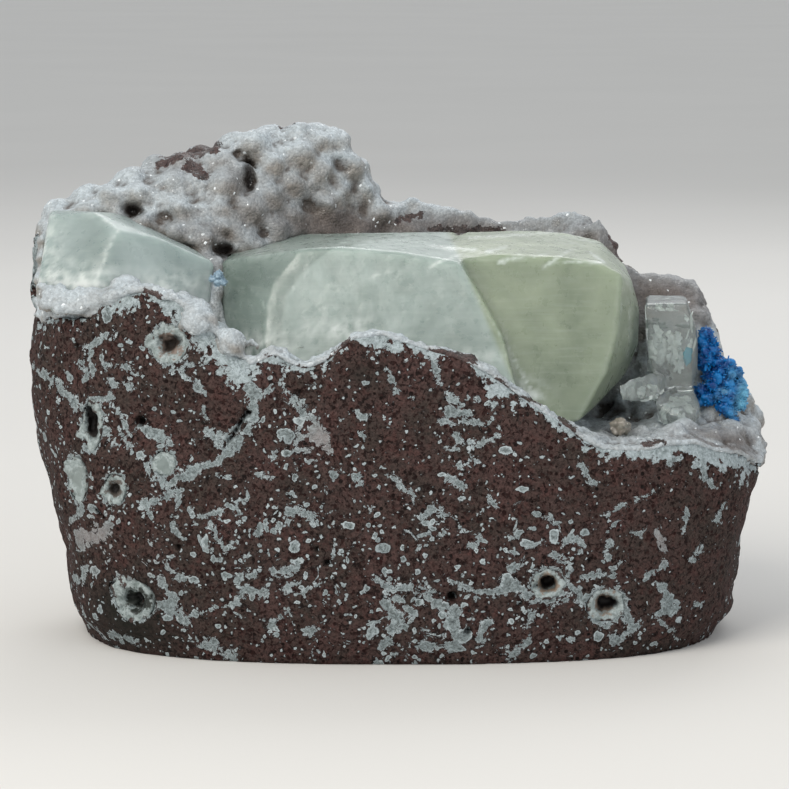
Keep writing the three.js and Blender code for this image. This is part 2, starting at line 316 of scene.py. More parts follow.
pocketNodes = [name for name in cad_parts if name.startswith("amygdule")]
drusePath = BVHTree.FromBMesh(mergedCopy("zeolite_druse"))
basaltPath = BVHTree.FromBMesh(mergedCopy("basalt_matrix"))
frontPath = BVHTree.FromBMesh(mergedCopy("zeolite_druse", "basalt_matrix"))
pocketPath = BVHTree.FromBMesh(mergedCopy(*pocketNodes))

# where the white crust ends and the brown rock begins on the ground front: pixels across and down
rimLine = [
    (25, 329), (39, 322), (65, 317), (96, 311), (123, 315), (136, 298), (148, 290), (155, 297), (165, 313),
    (185, 323), (198, 344), (212, 350), (220, 366), (231, 380), (245, 384), (252, 376), (264, 364), (276, 357),
    (283, 372), (297, 369), (313, 374), (324, 368), (336, 360), (345, 344), (354, 338), (370, 342), (379, 352),
    (403, 348), (426, 353), (445, 359), (470, 361), (480, 379), (490, 399), (510, 398), (523, 402), (542, 413),
    (561, 427), (578, 441), (600, 456), (618, 453), (637, 453), (652, 456), (671, 466), (685, 452), (698, 465),
    (716, 469), (744, 476), (755, 473), (760, 461), (770, 461),
]


# cavities in the crust, pressed back and painted dark as shade: pixel across, pixel down, half-sizes across and down
# in pixels, depth in mm
cavities = [
    (249, 174, 8, 22, 3.2), (241, 178, 14, 18, 0.9), (132, 211, 12, 9, 2.8), (224, 251, 14, 9, 3.0),
    (340, 165, 15, 10, 1.0), (262, 236, 14, 7, 1.0), (733, 418, 5, 4, 1.4),
    (703, 304, 5, 8, 1.6), (708, 324, 7, 7, 1.4), (722, 430, 6, 5, 1.2), (610, 411, 14, 10, 2.0),
    (704, 379, 6, 6, 1.6), (312, 208, 18, 9, 0.8), (168, 216, 22, 8, 0.8),
]
cavityBefore = (-0.006, -0.003)  # how far before the surface a cavity starts to act, and acts fully
cavityBehind = (0.007, 0.012)  # how far behind it a cavity still acts fully, and ends
# a cavity this deep is painted fully dark, as shade
deepCavity = 3  # in mm, a cavity of this depth is fully dark


# the darkness it returns is painted shade
def cavityPress(points):  # how far back each point lies in a cavity, in metres, and how dark it is there
    x, y = toPixels(points)
    depth = (points - np.array(viewFrom)) @ np.array(viewForward)
    wander = rough(points, 3 * mm, 3, 15.0) * 0.4
    back = np.zeros(len(points))
    dark = np.zeros(len(points))
    for cx, cy, halfX, halfY, deep in cavities:
        place = pixelHit(drusePath, cx, cy)[0]
        if place is None:
            continue
        behind = depth - (place - viewFrom).dot(viewForward)
        near = smoothStep(behind, *cavityBefore) * (1 - smoothStep(behind, *cavityBehind))
        away = np.sqrt(((x - cx) / halfX) ** 2 + ((y - cy) / halfY) ** 2) + wander
        here = (1 - smoothStep(away, 0.1, 1.25)) * near
        back = np.maximum(back, here * deep * mm)
        dark = np.maximum(dark, here * min(deep / deepCavity, 1))
    return back, dark


# where the rear wall ends at the right: pixels down and across
wallEnd = [
    (250, 640), (262, 680), (272, 698), (285, 708), (300, 714), (340, 719), (366, 724), (384, 752), (395, 775),
]
wallTop = (246, 262)  # pixels down, between which the pull towards it sets in
wallFoot = 392


def pulledIn(points):  # what stands out beyond the end of the rear wall is drawn in towards it
    x, y = toPixels(points)
    beyond = x - along(wallEnd, y)
    upper = smoothStep(wallFoot - y, 0, 14) * smoothStep(y, *wallTop)
    moved = points.copy()
    moved[:, 0] -= 0.8 * mmPerPixel * mm * beyond.clip(0, 60) * upper
    return moved


def aboveRim(points):  # how far above the rim line each point is in mm, seen from the front
    x, y = toPixels(points)
    return (along(rimLine, x) - y) * mmPerPixel


def groundFrontLine():  # how far forward the ground front of the rock reaches, step by step across the block
    line = []
    for step in range(-68, 69):
        starts = [Vector((step * mm, -0.1, z * mm)) for z in (18, 25, 31)]
        hits = [basaltPath.ray_cast(start, Vector((0, 1, 0)))[0] for start in starts]
        reached = [hit.y for hit in hits if hit]
        if reached:
            line.append((step * mm, min(reached)))
    return line


frontLine = groundFrontLine()


def onGroundFront(points, normals):  # 1 on the front that was ground, 0 on the crust behind it
    reach = along(frontLine, points[:, 0])
    facing = smoothStep(-normals[:, 1], 0.2, 0.55) * smoothStep(6.0 - aboveRim(points), 0.0, 1.5)
    return smoothStep(reach + 0.0075 - points[:, 1], 0.0, 0.002) * facing


# basalt block
basalt = {
    "voxel": 1.0 * mm,
    "facetSmoothing": 4,
    "frontRelief": 0.13 * mm,  # the front was ground, so it is nearly smooth
    "backRelief": 1.1 * mm,  # the back was broken with a hammer
    "baseHeight": 0.7 * mm,  # below this the sawn base stays flat
    "facetSize": 11 * mm,  # the broken back's large facets, and the lumps on them
    "lumpSize": 7 * mm,
    "grainSize": 1.6 * mm,
    "underCrust": 2.0 * mm,  # how far the skin dips under the crust, at the back and on the ground front
    "underLip": 0.4 * mm,
    "slitDepth": 1.2 * mm,
    "slim": 0.66,  # the veins' listed half-widths include their ragged edges
    "veinWander": 1.2 * mm,
    "wanderSize": 5 * mm,
    "joined": 0.22 * mm,  # closes the fitting gaps before the skin is drawn round everything
    "underFilling": 6.0 * mm,
    # edges on the ground front that are divided once more: how far they face forward, and where they begin
    "fineFacing": -0.35,
    "fineFront": -0.006,
    "fineBase": 0.002,
    # open gas bubbles in the front: pixel across, pixel down, radius, depth
    "pits": [
        (140, 421, 1.3, 2.0), (452, 597, 1.3, 2.2), (468, 631, 0.9, 1.6), (118, 588, 2.0, 1.2),
        (249, 413, 0.7, 1.4), (100, 515, 0.6, 0.9), (178, 547, 0.8, 0.9), (590, 560, 0.7, 0.8),
        (300, 392, 0.6, 0.7), (316, 549, 0.7, 1.0), (327, 563, 0.9, 1.2), (76, 345, 0.8, 0.8),
        (110, 505, 0.6, 0.8), (543, 514, 0.6, 0.6), (520, 604, 0.6, 0.8),
    ],
    # dark slits: pixel across and down at each end, half-width at each end in mm
    "slits": [(247, 412, 232, 437, 0.5, 0.4), (232, 437, 224, 446, 0.4, 0.2), (96, 510, 104, 518, 0.3, 0.3)],
    # veins and large fillings in the front face, in the same way
    "veins": [
        (29, 366, 46, 374, 0.7, 0.9), (46, 374, 62, 388, 0.9, 0.9), (62, 388, 74, 402, 0.9, 1.0),
        (74, 402, 84, 410, 0.8, 0.7), (92, 398, 108, 398, 0.5, 0.5), (84, 350, 104, 334, 0.7, 0.6),
        (80, 361, 81, 378, 0.7, 0.6), (92, 354, 90, 378, 0.6, 0.5), (113, 365, 136, 373, 0.8, 0.7),
        (102, 356, 110, 376, 0.3, 0.25), (111, 380, 117, 392, 0.5, 0.5), (125, 384, 130, 388, 0.8, 0.8),
        (184, 376, 208, 394, 0.9, 0.6), (172, 369, 205, 360, 0.3, 0.5), (110, 396, 118, 416, 0.45, 0.5),
        (118, 416, 130, 430, 0.6, 0.8), (142, 430, 158, 436, 1.2, 1.5), (158, 436, 168, 448, 1.5, 1.2),
        (120, 430, 150, 468, 0.35, 0.4), (150, 468, 165, 484, 0.5, 0.5), (104, 430, 116, 446, 0.6, 0.5),
        (248, 388, 258, 400, 1.6, 1.3), (257, 402, 243, 437, 1.0, 1.0), (247, 412, 224, 444, 0.5, 0.6),
        (243, 437, 222, 457, 1.0, 1.1), (222, 457, 195, 470, 1.3, 1.4), (195, 470, 165, 482, 1.3, 1.0),
        (204, 431, 222, 441, 0.7, 1.1), (203, 411, 204, 420, 0.5, 0.6), (278, 385, 292, 398, 0.6, 0.5),
        (292, 398, 301, 413, 0.5, 0.4), (301, 413, 314, 424, 0.4, 0.3), (300, 426, 300, 437, 0.8, 0.8),
        (276, 450, 276, 460, 0.6, 0.6), (258, 470, 272, 472, 0.7, 0.7), (220, 478, 226, 478, 0.9, 0.9),
        (290, 452, 309, 448, 0.7, 0.6), (270, 395, 280, 386, 0.9, 0.5), (160, 584, 170, 598, 0.8, 1.6),
        (160, 604, 178, 612, 1.3, 1.4), (178, 612, 190, 622, 1.3, 0.8), (190, 612, 207, 610, 0.3, 0.5),
        (207, 610, 228, 604, 0.5, 0.5), (228, 604, 246, 594, 0.5, 0.9), (246, 594, 264, 593, 0.9, 0.5),
        (239, 583, 254, 574, 0.8, 0.7), (272, 572, 296, 566, 0.9, 1.1), (282, 590, 300, 580, 0.8, 0.7),
        (300, 590, 332, 580, 0.4, 0.3), (268, 625, 288, 610, 0.9, 0.6), (307, 630, 322, 626, 0.7, 0.5),
        (166, 565, 182, 576, 0.9, 1.1), (213, 530, 224, 548, 0.8, 1.2), (224, 548, 240, 545, 1.2, 0.9),
        (254, 537, 264, 523, 0.9, 0.7), (268, 535, 287, 524, 0.8, 0.5), (289, 512, 310, 513, 0.9, 1.1),
        (227, 503, 240, 512, 0.4, 0.9), (203, 520, 221, 511, 0.9, 0.6), (168, 522, 184, 541, 0.9, 0.6),
        (146, 500, 150, 518, 0.8, 0.8), (154, 500, 172, 488, 0.7, 0.9), (178, 503, 178, 488, 0.9, 0.8),
        (75, 521, 82, 510, 0.8, 0.6), (79, 542, 104, 530, 2.0, 1.5), (68, 582, 90, 569, 0.9, 0.6),
        (88, 628, 102, 645, 0.7, 0.8), (113, 636, 136, 644, 0.8, 0.9), (200, 643, 235, 656, 0.7, 0.8),
        (380, 580, 400, 588, 1.3, 0.9), (400, 588, 437, 593, 0.9, 0.5), (450, 582, 480, 590, 0.7, 0.7),
        (480, 590, 508, 588, 0.7, 1.0), (512, 566, 526, 562, 1.0, 0.9), (511, 580, 528, 597, 1.6, 1.4),
        (548, 558, 566, 566, 0.8, 0.6), (566, 566, 579, 596, 0.6, 0.7), (535, 603, 580, 600, 0.8, 0.7),
        (382, 600, 396, 622, 1.2, 1.1), (396, 600, 408, 614, 1.0, 0.8), (396, 622, 388, 650, 1.0, 1.4),
        (418, 597, 444, 606, 0.9, 1.1), (452, 608, 458, 636, 1.5, 1.6), (490, 616, 482, 640, 0.6, 0.9),
        (424, 646, 456, 650, 1.3, 1.3), (530, 604, 528, 640, 0.9, 0.8), (528, 640, 508, 660, 0.8, 0.8),
        (580, 600, 594, 596, 0.8, 0.8), (588, 603, 606, 628, 0.5, 0.5), (606, 628, 618, 641, 0.5, 0.8),
        (622, 598, 632, 626, 1.6, 1.1), (615, 642, 642, 624, 0.8, 0.8), (660, 588, 672, 608, 1.3, 1.6),
        (672, 608, 660, 612, 1.2, 0.6), (610, 578, 623, 558, 0.9, 0.6), (584, 573, 611, 574, 0.5, 0.6),
        (420, 521, 436, 511, 0.8, 1.1), (436, 511, 450, 521, 1.0, 0.8), (458, 531, 485, 541, 0.5, 0.6),
        (468, 546, 484, 549, 0.4, 0.6), (423, 540, 446, 534, 0.5, 0.3), (536, 513, 552, 522, 0.6, 0.9),
        (552, 522, 562, 531, 0.9, 0.7), (560, 546, 572, 535, 0.4, 0.5), (572, 535, 586, 543, 0.5, 0.4),
        (562, 557, 580, 550, 0.5, 0.4), (600, 512, 626, 507, 0.4, 0.5), (606, 531, 621, 521, 0.5, 0.4),
        (508, 531, 521, 528, 0.6, 0.5), (510, 551, 536, 546, 0.6, 0.7), (448, 398, 470, 400, 1.0, 0.7),
        (452, 408, 463, 412, 1.3, 1.3), (440, 420, 483, 424, 0.5, 0.6), (488, 403, 486, 424, 0.5, 0.6),
        (432, 360, 441, 386, 1.1, 0.5), (455, 434, 470, 446, 0.9, 0.8), (472, 451, 500, 436, 0.6, 0.5),
        (466, 456, 480, 463, 0.5, 0.5), (441, 447, 456, 452, 0.6, 0.6), (460, 466, 462, 469, 0.7, 0.7),
        (397, 484, 404, 495, 0.7, 0.8), (411, 491, 416, 504, 0.8, 0.7), (448, 482, 464, 487, 0.9, 0.7),
        (362, 411, 364, 417, 0.6, 0.6), (361, 434, 366, 437, 0.8, 0.6), (350, 474, 361, 483, 0.7, 0.6),
        (386, 478, 391, 480, 0.8, 0.6), (330, 478, 337, 473, 0.6, 0.5), (310, 462, 315, 462, 0.7, 0.7),
        (314, 430, 331, 452, 1.9, 0.8), (385, 362, 396, 388, 0.3, 0.4), (396, 388, 409, 399, 0.4, 0.3),
        (489, 495, 500, 502, 0.9, 0.8), (578, 463, 588, 470, 1.0, 0.8), (588, 470, 600, 488, 0.8, 0.3),
        (640, 500, 655, 490, 0.6, 0.4), (692, 505, 684, 530, 0.3, 0.5), (654, 532, 668, 552, 1.5, 0.4),
        (610, 544, 606, 559, 0.6, 0.6), (638, 536, 640, 539, 0.6, 0.6), (643, 580, 667, 560, 0.8, 0.6),
        (693, 606, 699, 601, 0.7, 0.6), (667, 462, 674, 458, 1.1, 1.1), (701, 468, 710, 484, 1.3, 0.6),
        (663, 622, 676, 640, 0.6, 0.5), (718, 520, 724, 510, 0.6, 0.4), (690, 560, 700, 545, 0.4, 0.5),
    ],
    # how crowded the small fillings are: pixel across and down, half-sizes, more or less than elsewhere
    "crowding": [
        (420, 385, 120, 45, -0.3), (555, 480, 55, 45, -0.28), (745, 560, 30, 110, -0.35),
        (120, 325, 60, 22, -0.25), (225, 405, 22, 30, -0.5), (110, 545, 60, 55, 0.3), (395, 625, 60, 40, 0.3),
        (250, 560, 110, 60, 0.1), (565, 545, 50, 35, 0.2), (340, 480, 60, 60, 0.12), (640, 480, 60, 30, -0.1),
        (680, 550, 80, 95, -0.6), (450, 625, 130, 34, 0.22), (290, 600, 90, 40, 0.15),
    ],
    # darker and pinkish stretches, in the same way
    "darkStretch": [
        (128, 606, 34, 30, 1.1), (150, 640, 50, 16, 0.5), (680, 652, 60, 10, 0.6), (360, 372, 22, 18, 0.35),
    ],
    "pink": [
        (92, 535, 24, 16, 1.0), (322, 440, 18, 18, 1.0), (662, 540, 16, 18, 0.9), (607, 462, 10, 8, 0.8),
        (130, 560, 34, 22, 0.5),
    ],
    # each size of bubble: cell spacing and largest radius in mm, share of the cells that hold one, metric, and
    # how the cells are turned and stretched
    "bubbles": [
        (5.5, 1.6, 0.3, "EUCLIDEAN", (0.3, 0.8, 0.2), (1.0, 1.0, 0.8)),
        (3.3, 1.15, 0.42, "EUCLIDEAN", (0.9, 0.4, 1.2), (0.7, 1.0, 1.25)),
        (2.1, 0.85, 0.5, "MANHATTAN", (1.7, 1.1, 0.6), (1.3, 0.75, 0.9)),
        (1.5, 0.62, 0.55, "EUCLIDEAN", (0.2, 0.5, 1.9), (1.0, 0.8, 1.2)),
        (0.9, 0.34, 0.5, "EUCLIDEAN", (0.0, 0.0, 0.0), (1.0, 1.0, 1.0)),
    ],
}


def groundMass(tree, inMm):
    # fine-grained reddish-brown rock, with paler grey-brown patches, dull crystals and dark flecks
    patch = addNode(tree, "ShaderNodeTexNoise", {"Scale": 0.13, "Detail": 5.0, "Roughness": 0.6}, {"Vector": inMm})
    patchShare = addNode(tree, "ShaderNodeMapRange", {"From Min": 0.38, "From Max": 0.62},
                         {"Value": patch.outputs[0]})
    plain = addNode(tree, "ShaderNodeMix", {"data_type": "RGBA", 6: toLinear("#4e3c39"), 7: toLinear("#413834")},
                    {0: patchShare.outputs[0]})
    maroon = addNode(tree, "ShaderNodeTexNoise", {"Scale": 0.42, "Detail": 4.0, "Roughness": 0.65}, {"Vector": inMm})
    maroonShare = addNode(tree, "ShaderNodeMapRange", {"From Min": 0.5, "From Max": 0.65, "To Max": 0.55},
                          {"Value": maroon.outputs[0]})
    body = addNode(tree, "ShaderNodeMix", {"data_type": "RGBA", 7: toLinear("#4d322f")},
                   {0: maroonShare.outputs[0], 6: plain.outputs[2]})
    grain = addNode(tree, "ShaderNodeTexNoise", {"Scale": 2.2, "Detail": 5.0, "Roughness": 0.75}, {"Vector": inMm})
    grainShare = addNode(tree, "ShaderNodeMapRange",
                         {"From Min": 0.3, "From Max": 0.7, "To Min": 0.22, "To Max": 1.6},
                         {"Value": grain.outputs[0]})
    grained = addNode(tree, "ShaderNodeMix", {"data_type": "RGBA", "blend_type": "MULTIPLY", 0: 1.0},
                      {6: body.outputs[2], 7: grainShare.outputs[0]})
    fleck = addNode(tree, "ShaderNodeTexVoronoi", {"Scale": 0.95}, {"Vector": inMm})
    fleckSplit = addNode(tree, "ShaderNodeSeparateColor", {}, {0: fleck.outputs["Color"]})
    fleckSize = addNode(tree, "ShaderNodeMapRange",
                        {"From Min": 0.3, "From Max": 1.0, "To Min": -0.03, "To Max": 0.4},
                        {"Value": fleckSplit.outputs[0]})
    fleckDepth = addNode(tree, "ShaderNodeMath", {"operation": "SUBTRACT"},
                         {0: fleckSize.outputs[0], 1: fleck.outputs["Distance"]})
    fleckMask = addNode(tree, "ShaderNodeMapRange", {"From Min": -0.06, "From Max": 0.08},
                        {"Value": fleckDepth.outputs[0]})
    fleckTint = addNode(tree, "ShaderNodeMix", {"data_type": "RGBA", 6: toLinear("#0f0b0a"), 7: toLinear("#2a1614")},
                        {0: fleckSplit.outputs[1]})
    pin = addNode(tree, "ShaderNodeTexNoise", {"Scale": 1.15, "Detail": 4.0, "Roughness": 0.6, "Distortion": 0.5},
                  {"Vector": inMm})
    pinMask = addNode(tree, "ShaderNodeMapRange", {"From Min": 0.535, "From Max": 0.6, "To Max": 0.88},
                      {"Value": pin.outputs[0]})
    darkMask = addNode(tree, "ShaderNodeMath", {"operation": "MAXIMUM"},
                       {0: fleckMask.outputs[0], 1: pinMask.outputs[0]})
    flecked = addNode(tree, "ShaderNodeMix", {"data_type": "RGBA"},
                      {0: darkMask.outputs[0], 6: grained.outputs[2], 7: fleckTint.outputs[2]})
    return flecked.outputs[2], grain.outputs[0], darkMask.outputs[0]


def raggedRim(tree, inMm):  # how far inside the white crust a point of the front is, in mm
    above = addNode(tree, "ShaderNodeAttribute", {"attribute_name": "rim"})
    ragged = addNode(tree, "ShaderNodeTexNoise", {"Scale": 0.75, "Detail": 5.0, "Roughness": 0.65},
                     {"Vector": inMm})
    edge = addNode(tree, "ShaderNodeMath", {"operation": "MULTIPLY_ADD", 1: 14.0, 2: -6.9}, {0: ragged.outputs[0]})
    fingers = addNode(tree, "ShaderNodeTexNoise", {"Scale": 0.28, "Detail": 2.0}, {"Vector": inMm})
    finger = addNode(tree, "ShaderNodeMath", {"operation": "MULTIPLY_ADD", 1: 10.0, 2: -5.0}, {0: fingers.outputs[0]})
    rim = addNode(tree, "ShaderNodeMath", {"operation": "ADD"}, {0: above.outputs["Fac"], 1: edge.outputs[0]})
    return addNode(tree, "ShaderNodeMath", {"operation": "ADD"}, {0: rim.outputs[0], 1: finger.outputs[0]}).outputs[0]


def amygdaloidalBasalt():
    # basalt with its gas bubbles filled by pale zeolite, cut and ground: dull brown, mottled white, and pinholed,
    # with painted shade in the pits
    material, tree, shader, inMm = newMaterial("amygdaloidalBasaltGround")
    read = {name: addNode(tree, "ShaderNodeAttribute", {"attribute_name": name}).outputs["Fac"]
            for name in ("crowd", "vein", "darkStretch", "pink", "deep")}
    bend = addNode(tree, "ShaderNodeTexNoise", {"Scale": 0.7, "Detail": 2.0, "Roughness": 0.55},
                   {"Vector": inMm})
    centred = addNode(tree, "ShaderNodeVectorMath", {"operation": "SUBTRACT", 1: (0.5, 0.5, 0.5)},
                      {0: bend.outputs[1]})
    sized = addNode(tree, "ShaderNodeVectorMath", {"operation": "SCALE", "Scale": 1.5},
                    {0: centred.outputs[0]})
    bent = addNode(tree, "ShaderNodeVectorMath", {"operation": "ADD"}, {0: inMm, 1: sized.outputs[0]})
    crowd = addNode(tree, "ShaderNodeTexNoise", {"Scale": 0.06, "Detail": 2.0}, {"Vector": inMm})
    crowding = addNode(tree, "ShaderNodeMapRange",
                       {"From Min": 0.35, "From Max": 0.65, "To Min": 0.8, "To Max": 1.12},
                       {"Value": crowd.outputs[0]})
    crowded = addNode(tree, "ShaderNodeMath", {"operation": "ADD"}, {0: crowding.outputs[0], 1: read["crowd"]})
    inside = None
    tint = None
    for spacing, largest, share, metric, turn, stretch in basalt["bubbles"]:
        turned = addNode(tree, "ShaderNodeMapping", {"Rotation": turn, "Scale": stretch},
                         {"Vector": bent.outputs[0]})
        cell = addNode(tree, "ShaderNodeTexVoronoi", {"Scale": 1 / spacing, "distance": metric},
                       {"Vector": turned.outputs[0]})
        split = addNode(tree, "ShaderNodeSeparateColor", {}, {0: cell.outputs["Color"]})
        radius = addNode(tree, "ShaderNodeMapRange",
                         {"From Min": 1 - share, "From Max": 1.0, "To Min": -0.1, "To Max": largest},
                         {"Value": split.outputs[0]})
        grown = addNode(tree, "ShaderNodeMath", {"operation": "MULTIPLY"},
                        {0: radius.outputs[0], 1: crowded.outputs[0]})
        depth = addNode(tree, "ShaderNodeMath", {"operation": "MULTIPLY_ADD", 1: -spacing},
                        {0: cell.outputs["Distance"], 2: grown.outputs[0]})
        if inside is None:
            inside, tint = depth.outputs[0], split.outputs[1]
            continue
        deeper = addNode(tree, "ShaderNodeMath", {"operation": "GREATER_THAN"},
                         {0: depth.outputs[0], 1: inside})
        tint = addNode(tree, "ShaderNodeMix", {},
                       {0: deeper.outputs[0], 2: tint, 3: split.outputs[1]}).outputs[0]
        inside = addNode(tree, "ShaderNodeMath", {"operation": "MAXIMUM"},
                         {0: inside, 1: depth.outputs[0]}).outputs[0]
    # bubbles that ran together before they were filled, as irregular islands
    island = addNode(tree, "ShaderNodeTexNoise",
                     {"Scale": 0.3, "Detail": 6.0, "Roughness": 0.68, "Distortion": 0.7}, {"Vector": inMm})
    islandEdge = addNode(tree, "ShaderNodeMath", {"operation": "MULTIPLY_ADD", 1: 0.12, 2: -0.765},
                         {0: crowded.outputs[0]})
    islandShare = addNode(tree, "ShaderNodeMath", {"operation": "ADD"},
                          {0: island.outputs[0], 1: islandEdge.outputs[0]})
    islandDepth = addNode(tree, "ShaderNodeMath", {"operation": "MULTIPLY", 1: 6.0},
                          {0: islandShare.outputs[0]})
    # placed veins and fillings come as an attribute, in mm, with ragged edges
    ragged = addNode(tree, "ShaderNodeTexNoise",
                     {"Scale": 0.62, "Detail": 6.0, "Roughness": 0.72, "Distortion": 0.5}, {"Vector": inMm})
    edge = addNode(tree, "ShaderNodeMath", {"operation": "MULTIPLY_ADD", 1: 5.4, 2: -2.65},
                   {0: ragged.outputs[0]})
    veinDepth = addNode(tree, "ShaderNodeMath", {"operation": "ADD"}, {0: read["vein"], 1: edge.outputs[0]})
    rim = raggedRim(tree, inMm)
    for depth in (islandDepth.outputs[0], veinDepth.outputs[0], rim):
        inside = addNode(tree, "ShaderNodeMath", {"operation": "MAXIMUM"}, {0: inside, 1: depth}).outputs[0]
    rock, grain, flecks = groundMass(tree, inMm)
    darkStretched = addNode(tree, "ShaderNodeMix", {"data_type": "RGBA", 7: toLinear("#22231f")},
                     {0: read["darkStretch"], 6: rock})
    # a dark reaction halo round each filling, then the filling, bright at its wall and greyer in its middle
    halo = addNode(tree, "ShaderNodeMapRange", {"From Min": -0.5, "From Max": -0.04, "To Max": 0.5},
                   {"Value": inside})
    haloed = addNode(tree, "ShaderNodeMix", {"data_type": "RGBA", 7: toLinear("#2b2827")},
                     {0: halo.outputs[0], 6: darkStretched.outputs[2]})
    mask = addNode(tree, "ShaderNodeMapRange",
                   {"From Min": -0.04, "From Max": 0.1, "interpolation_type": "SMOOTHSTEP"}, {"Value": inside})
    core = addNode(tree, "ShaderNodeMapRange", {"From Min": 0.12, "From Max": 0.36, "To Max": 0.85},
                   {"Value": inside})
    cloud = addNode(tree, "ShaderNodeTexNoise",
                    {"Scale": 1.5, "Detail": 6.0, "Roughness": 0.75, "Distortion": 0.8},
                    {"Vector": bent.outputs[0]})
    cloudShare = addNode(tree, "ShaderNodeMapRange", {"From Min": 0.4, "From Max": 0.6},
                         {"Value": cloud.outputs[0]})
    wall, middle, sugary = [
        addNode(tree, "ShaderNodeMix", {"data_type": "RGBA", 6: toLinear(first), 7: toLinear(second)}, {0: share})
        for first, second, share in (("#949fa2", "#bcc7ca", tint), ("#424846", "#929d9f", cloudShare.outputs[0]),
                                     ("#8b9697", "#b6c1c5", cloudShare.outputs[0]))]
    filling = addNode(tree, "ShaderNodeMix", {"data_type": "RGBA"},
                      {0: core.outputs[0], 6: wall.outputs[2], 7: middle.outputs[2]})
    pinked = addNode(tree, "ShaderNodeMix", {"data_type": "RGBA", 7: toLinear("#8f8280")},
                     {0: read["pink"], 6: filling.outputs[2]})
    crusty = addNode(tree, "ShaderNodeMapRange", {"From Min": 0.0, "From Max": 0.6, "To Max": 0.85},
                     {"Value": rim})
    whitened = addNode(tree, "ShaderNodeMix", {"data_type": "RGBA"},
                       {0: crusty.outputs[0], 6: pinked.outputs[2], 7: sugary.outputs[2]})
    veined = addNode(tree, "ShaderNodeMix", {"data_type": "RGBA"},
                     {0: mask.outputs[0], 6: haloed.outputs[2], 7: whitened.outputs[2]})
    # painted shade: near-black in the open pits and slits
    final = addNode(tree, "ShaderNodeMix", {"data_type": "RGBA", 7: toLinear("#0c0a09")},
                    {0: read["deep"], 6: veined.outputs[2]})
    gloss = addNode(tree, "ShaderNodeMapRange", {"To Min": 0.8, "To Max": 0.5}, {"Value": mask.outputs[0]})
    raised = addNode(tree, "ShaderNodeMath", {"operation": "MULTIPLY", 1: 0.14}, {0: mask.outputs[0]})
    sunk = addNode(tree, "ShaderNodeMath", {"operation": "MULTIPLY_ADD", 1: -0.4},
                   {0: flecks, 2: raised.outputs[0]})
    height = addNode(tree, "ShaderNodeMath", {"operation": "MULTIPLY_ADD", 1: 0.3},
                     {0: grain, 2: sunk.outputs[0]})
    bump = addNode(tree, "ShaderNodeBump", {"Strength": 0.7, "Distance": 0.0006}, {"Height": height.outputs[0]})
    setNode(tree, shader, {"IOR": 1.5, "Specular IOR Level": 0.1},
            {"Base Color": final.outputs[2], "Roughness": gloss.outputs[0], "Normal": bump.outputs[0]})
    return material


def dividedFront(mesh, name):  # the ground front is divided once more, to hold its fine veins
    bm = bmesh.new()
    bm.from_mesh(mesh)
    bm.normal_update()
    fine = {v for v in bm.verts if v.normal.y < basalt["fineFacing"]
            and v.co.y < basalt["fineFront"] and v.co.z > basalt["fineBase"]}
    front = [e for e in bm.edges if fine.issuperset(e.verts)]
    bmesh.ops.subdivide_edges(bm, edges=front, cuts=1, use_grid_fill=True)
    return meshOf(bm, name)


def insidePockets(points):  # 1 in the middle of a filling as seen straight from the front, 0 outside
    inside = np.zeros(len(points))
    for nodeName in pocketNodes:
        low, high = (np.array(corner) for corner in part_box(nodeName))
        across = (points - (low + high) / 2)[:, [0, 2]] / ((high - low) / 2)[[0, 2]]
        inside = np.maximum(inside, 1 - smoothStep(np.linalg.norm(across, axis=1), 0.8, 0.98))
    return inside


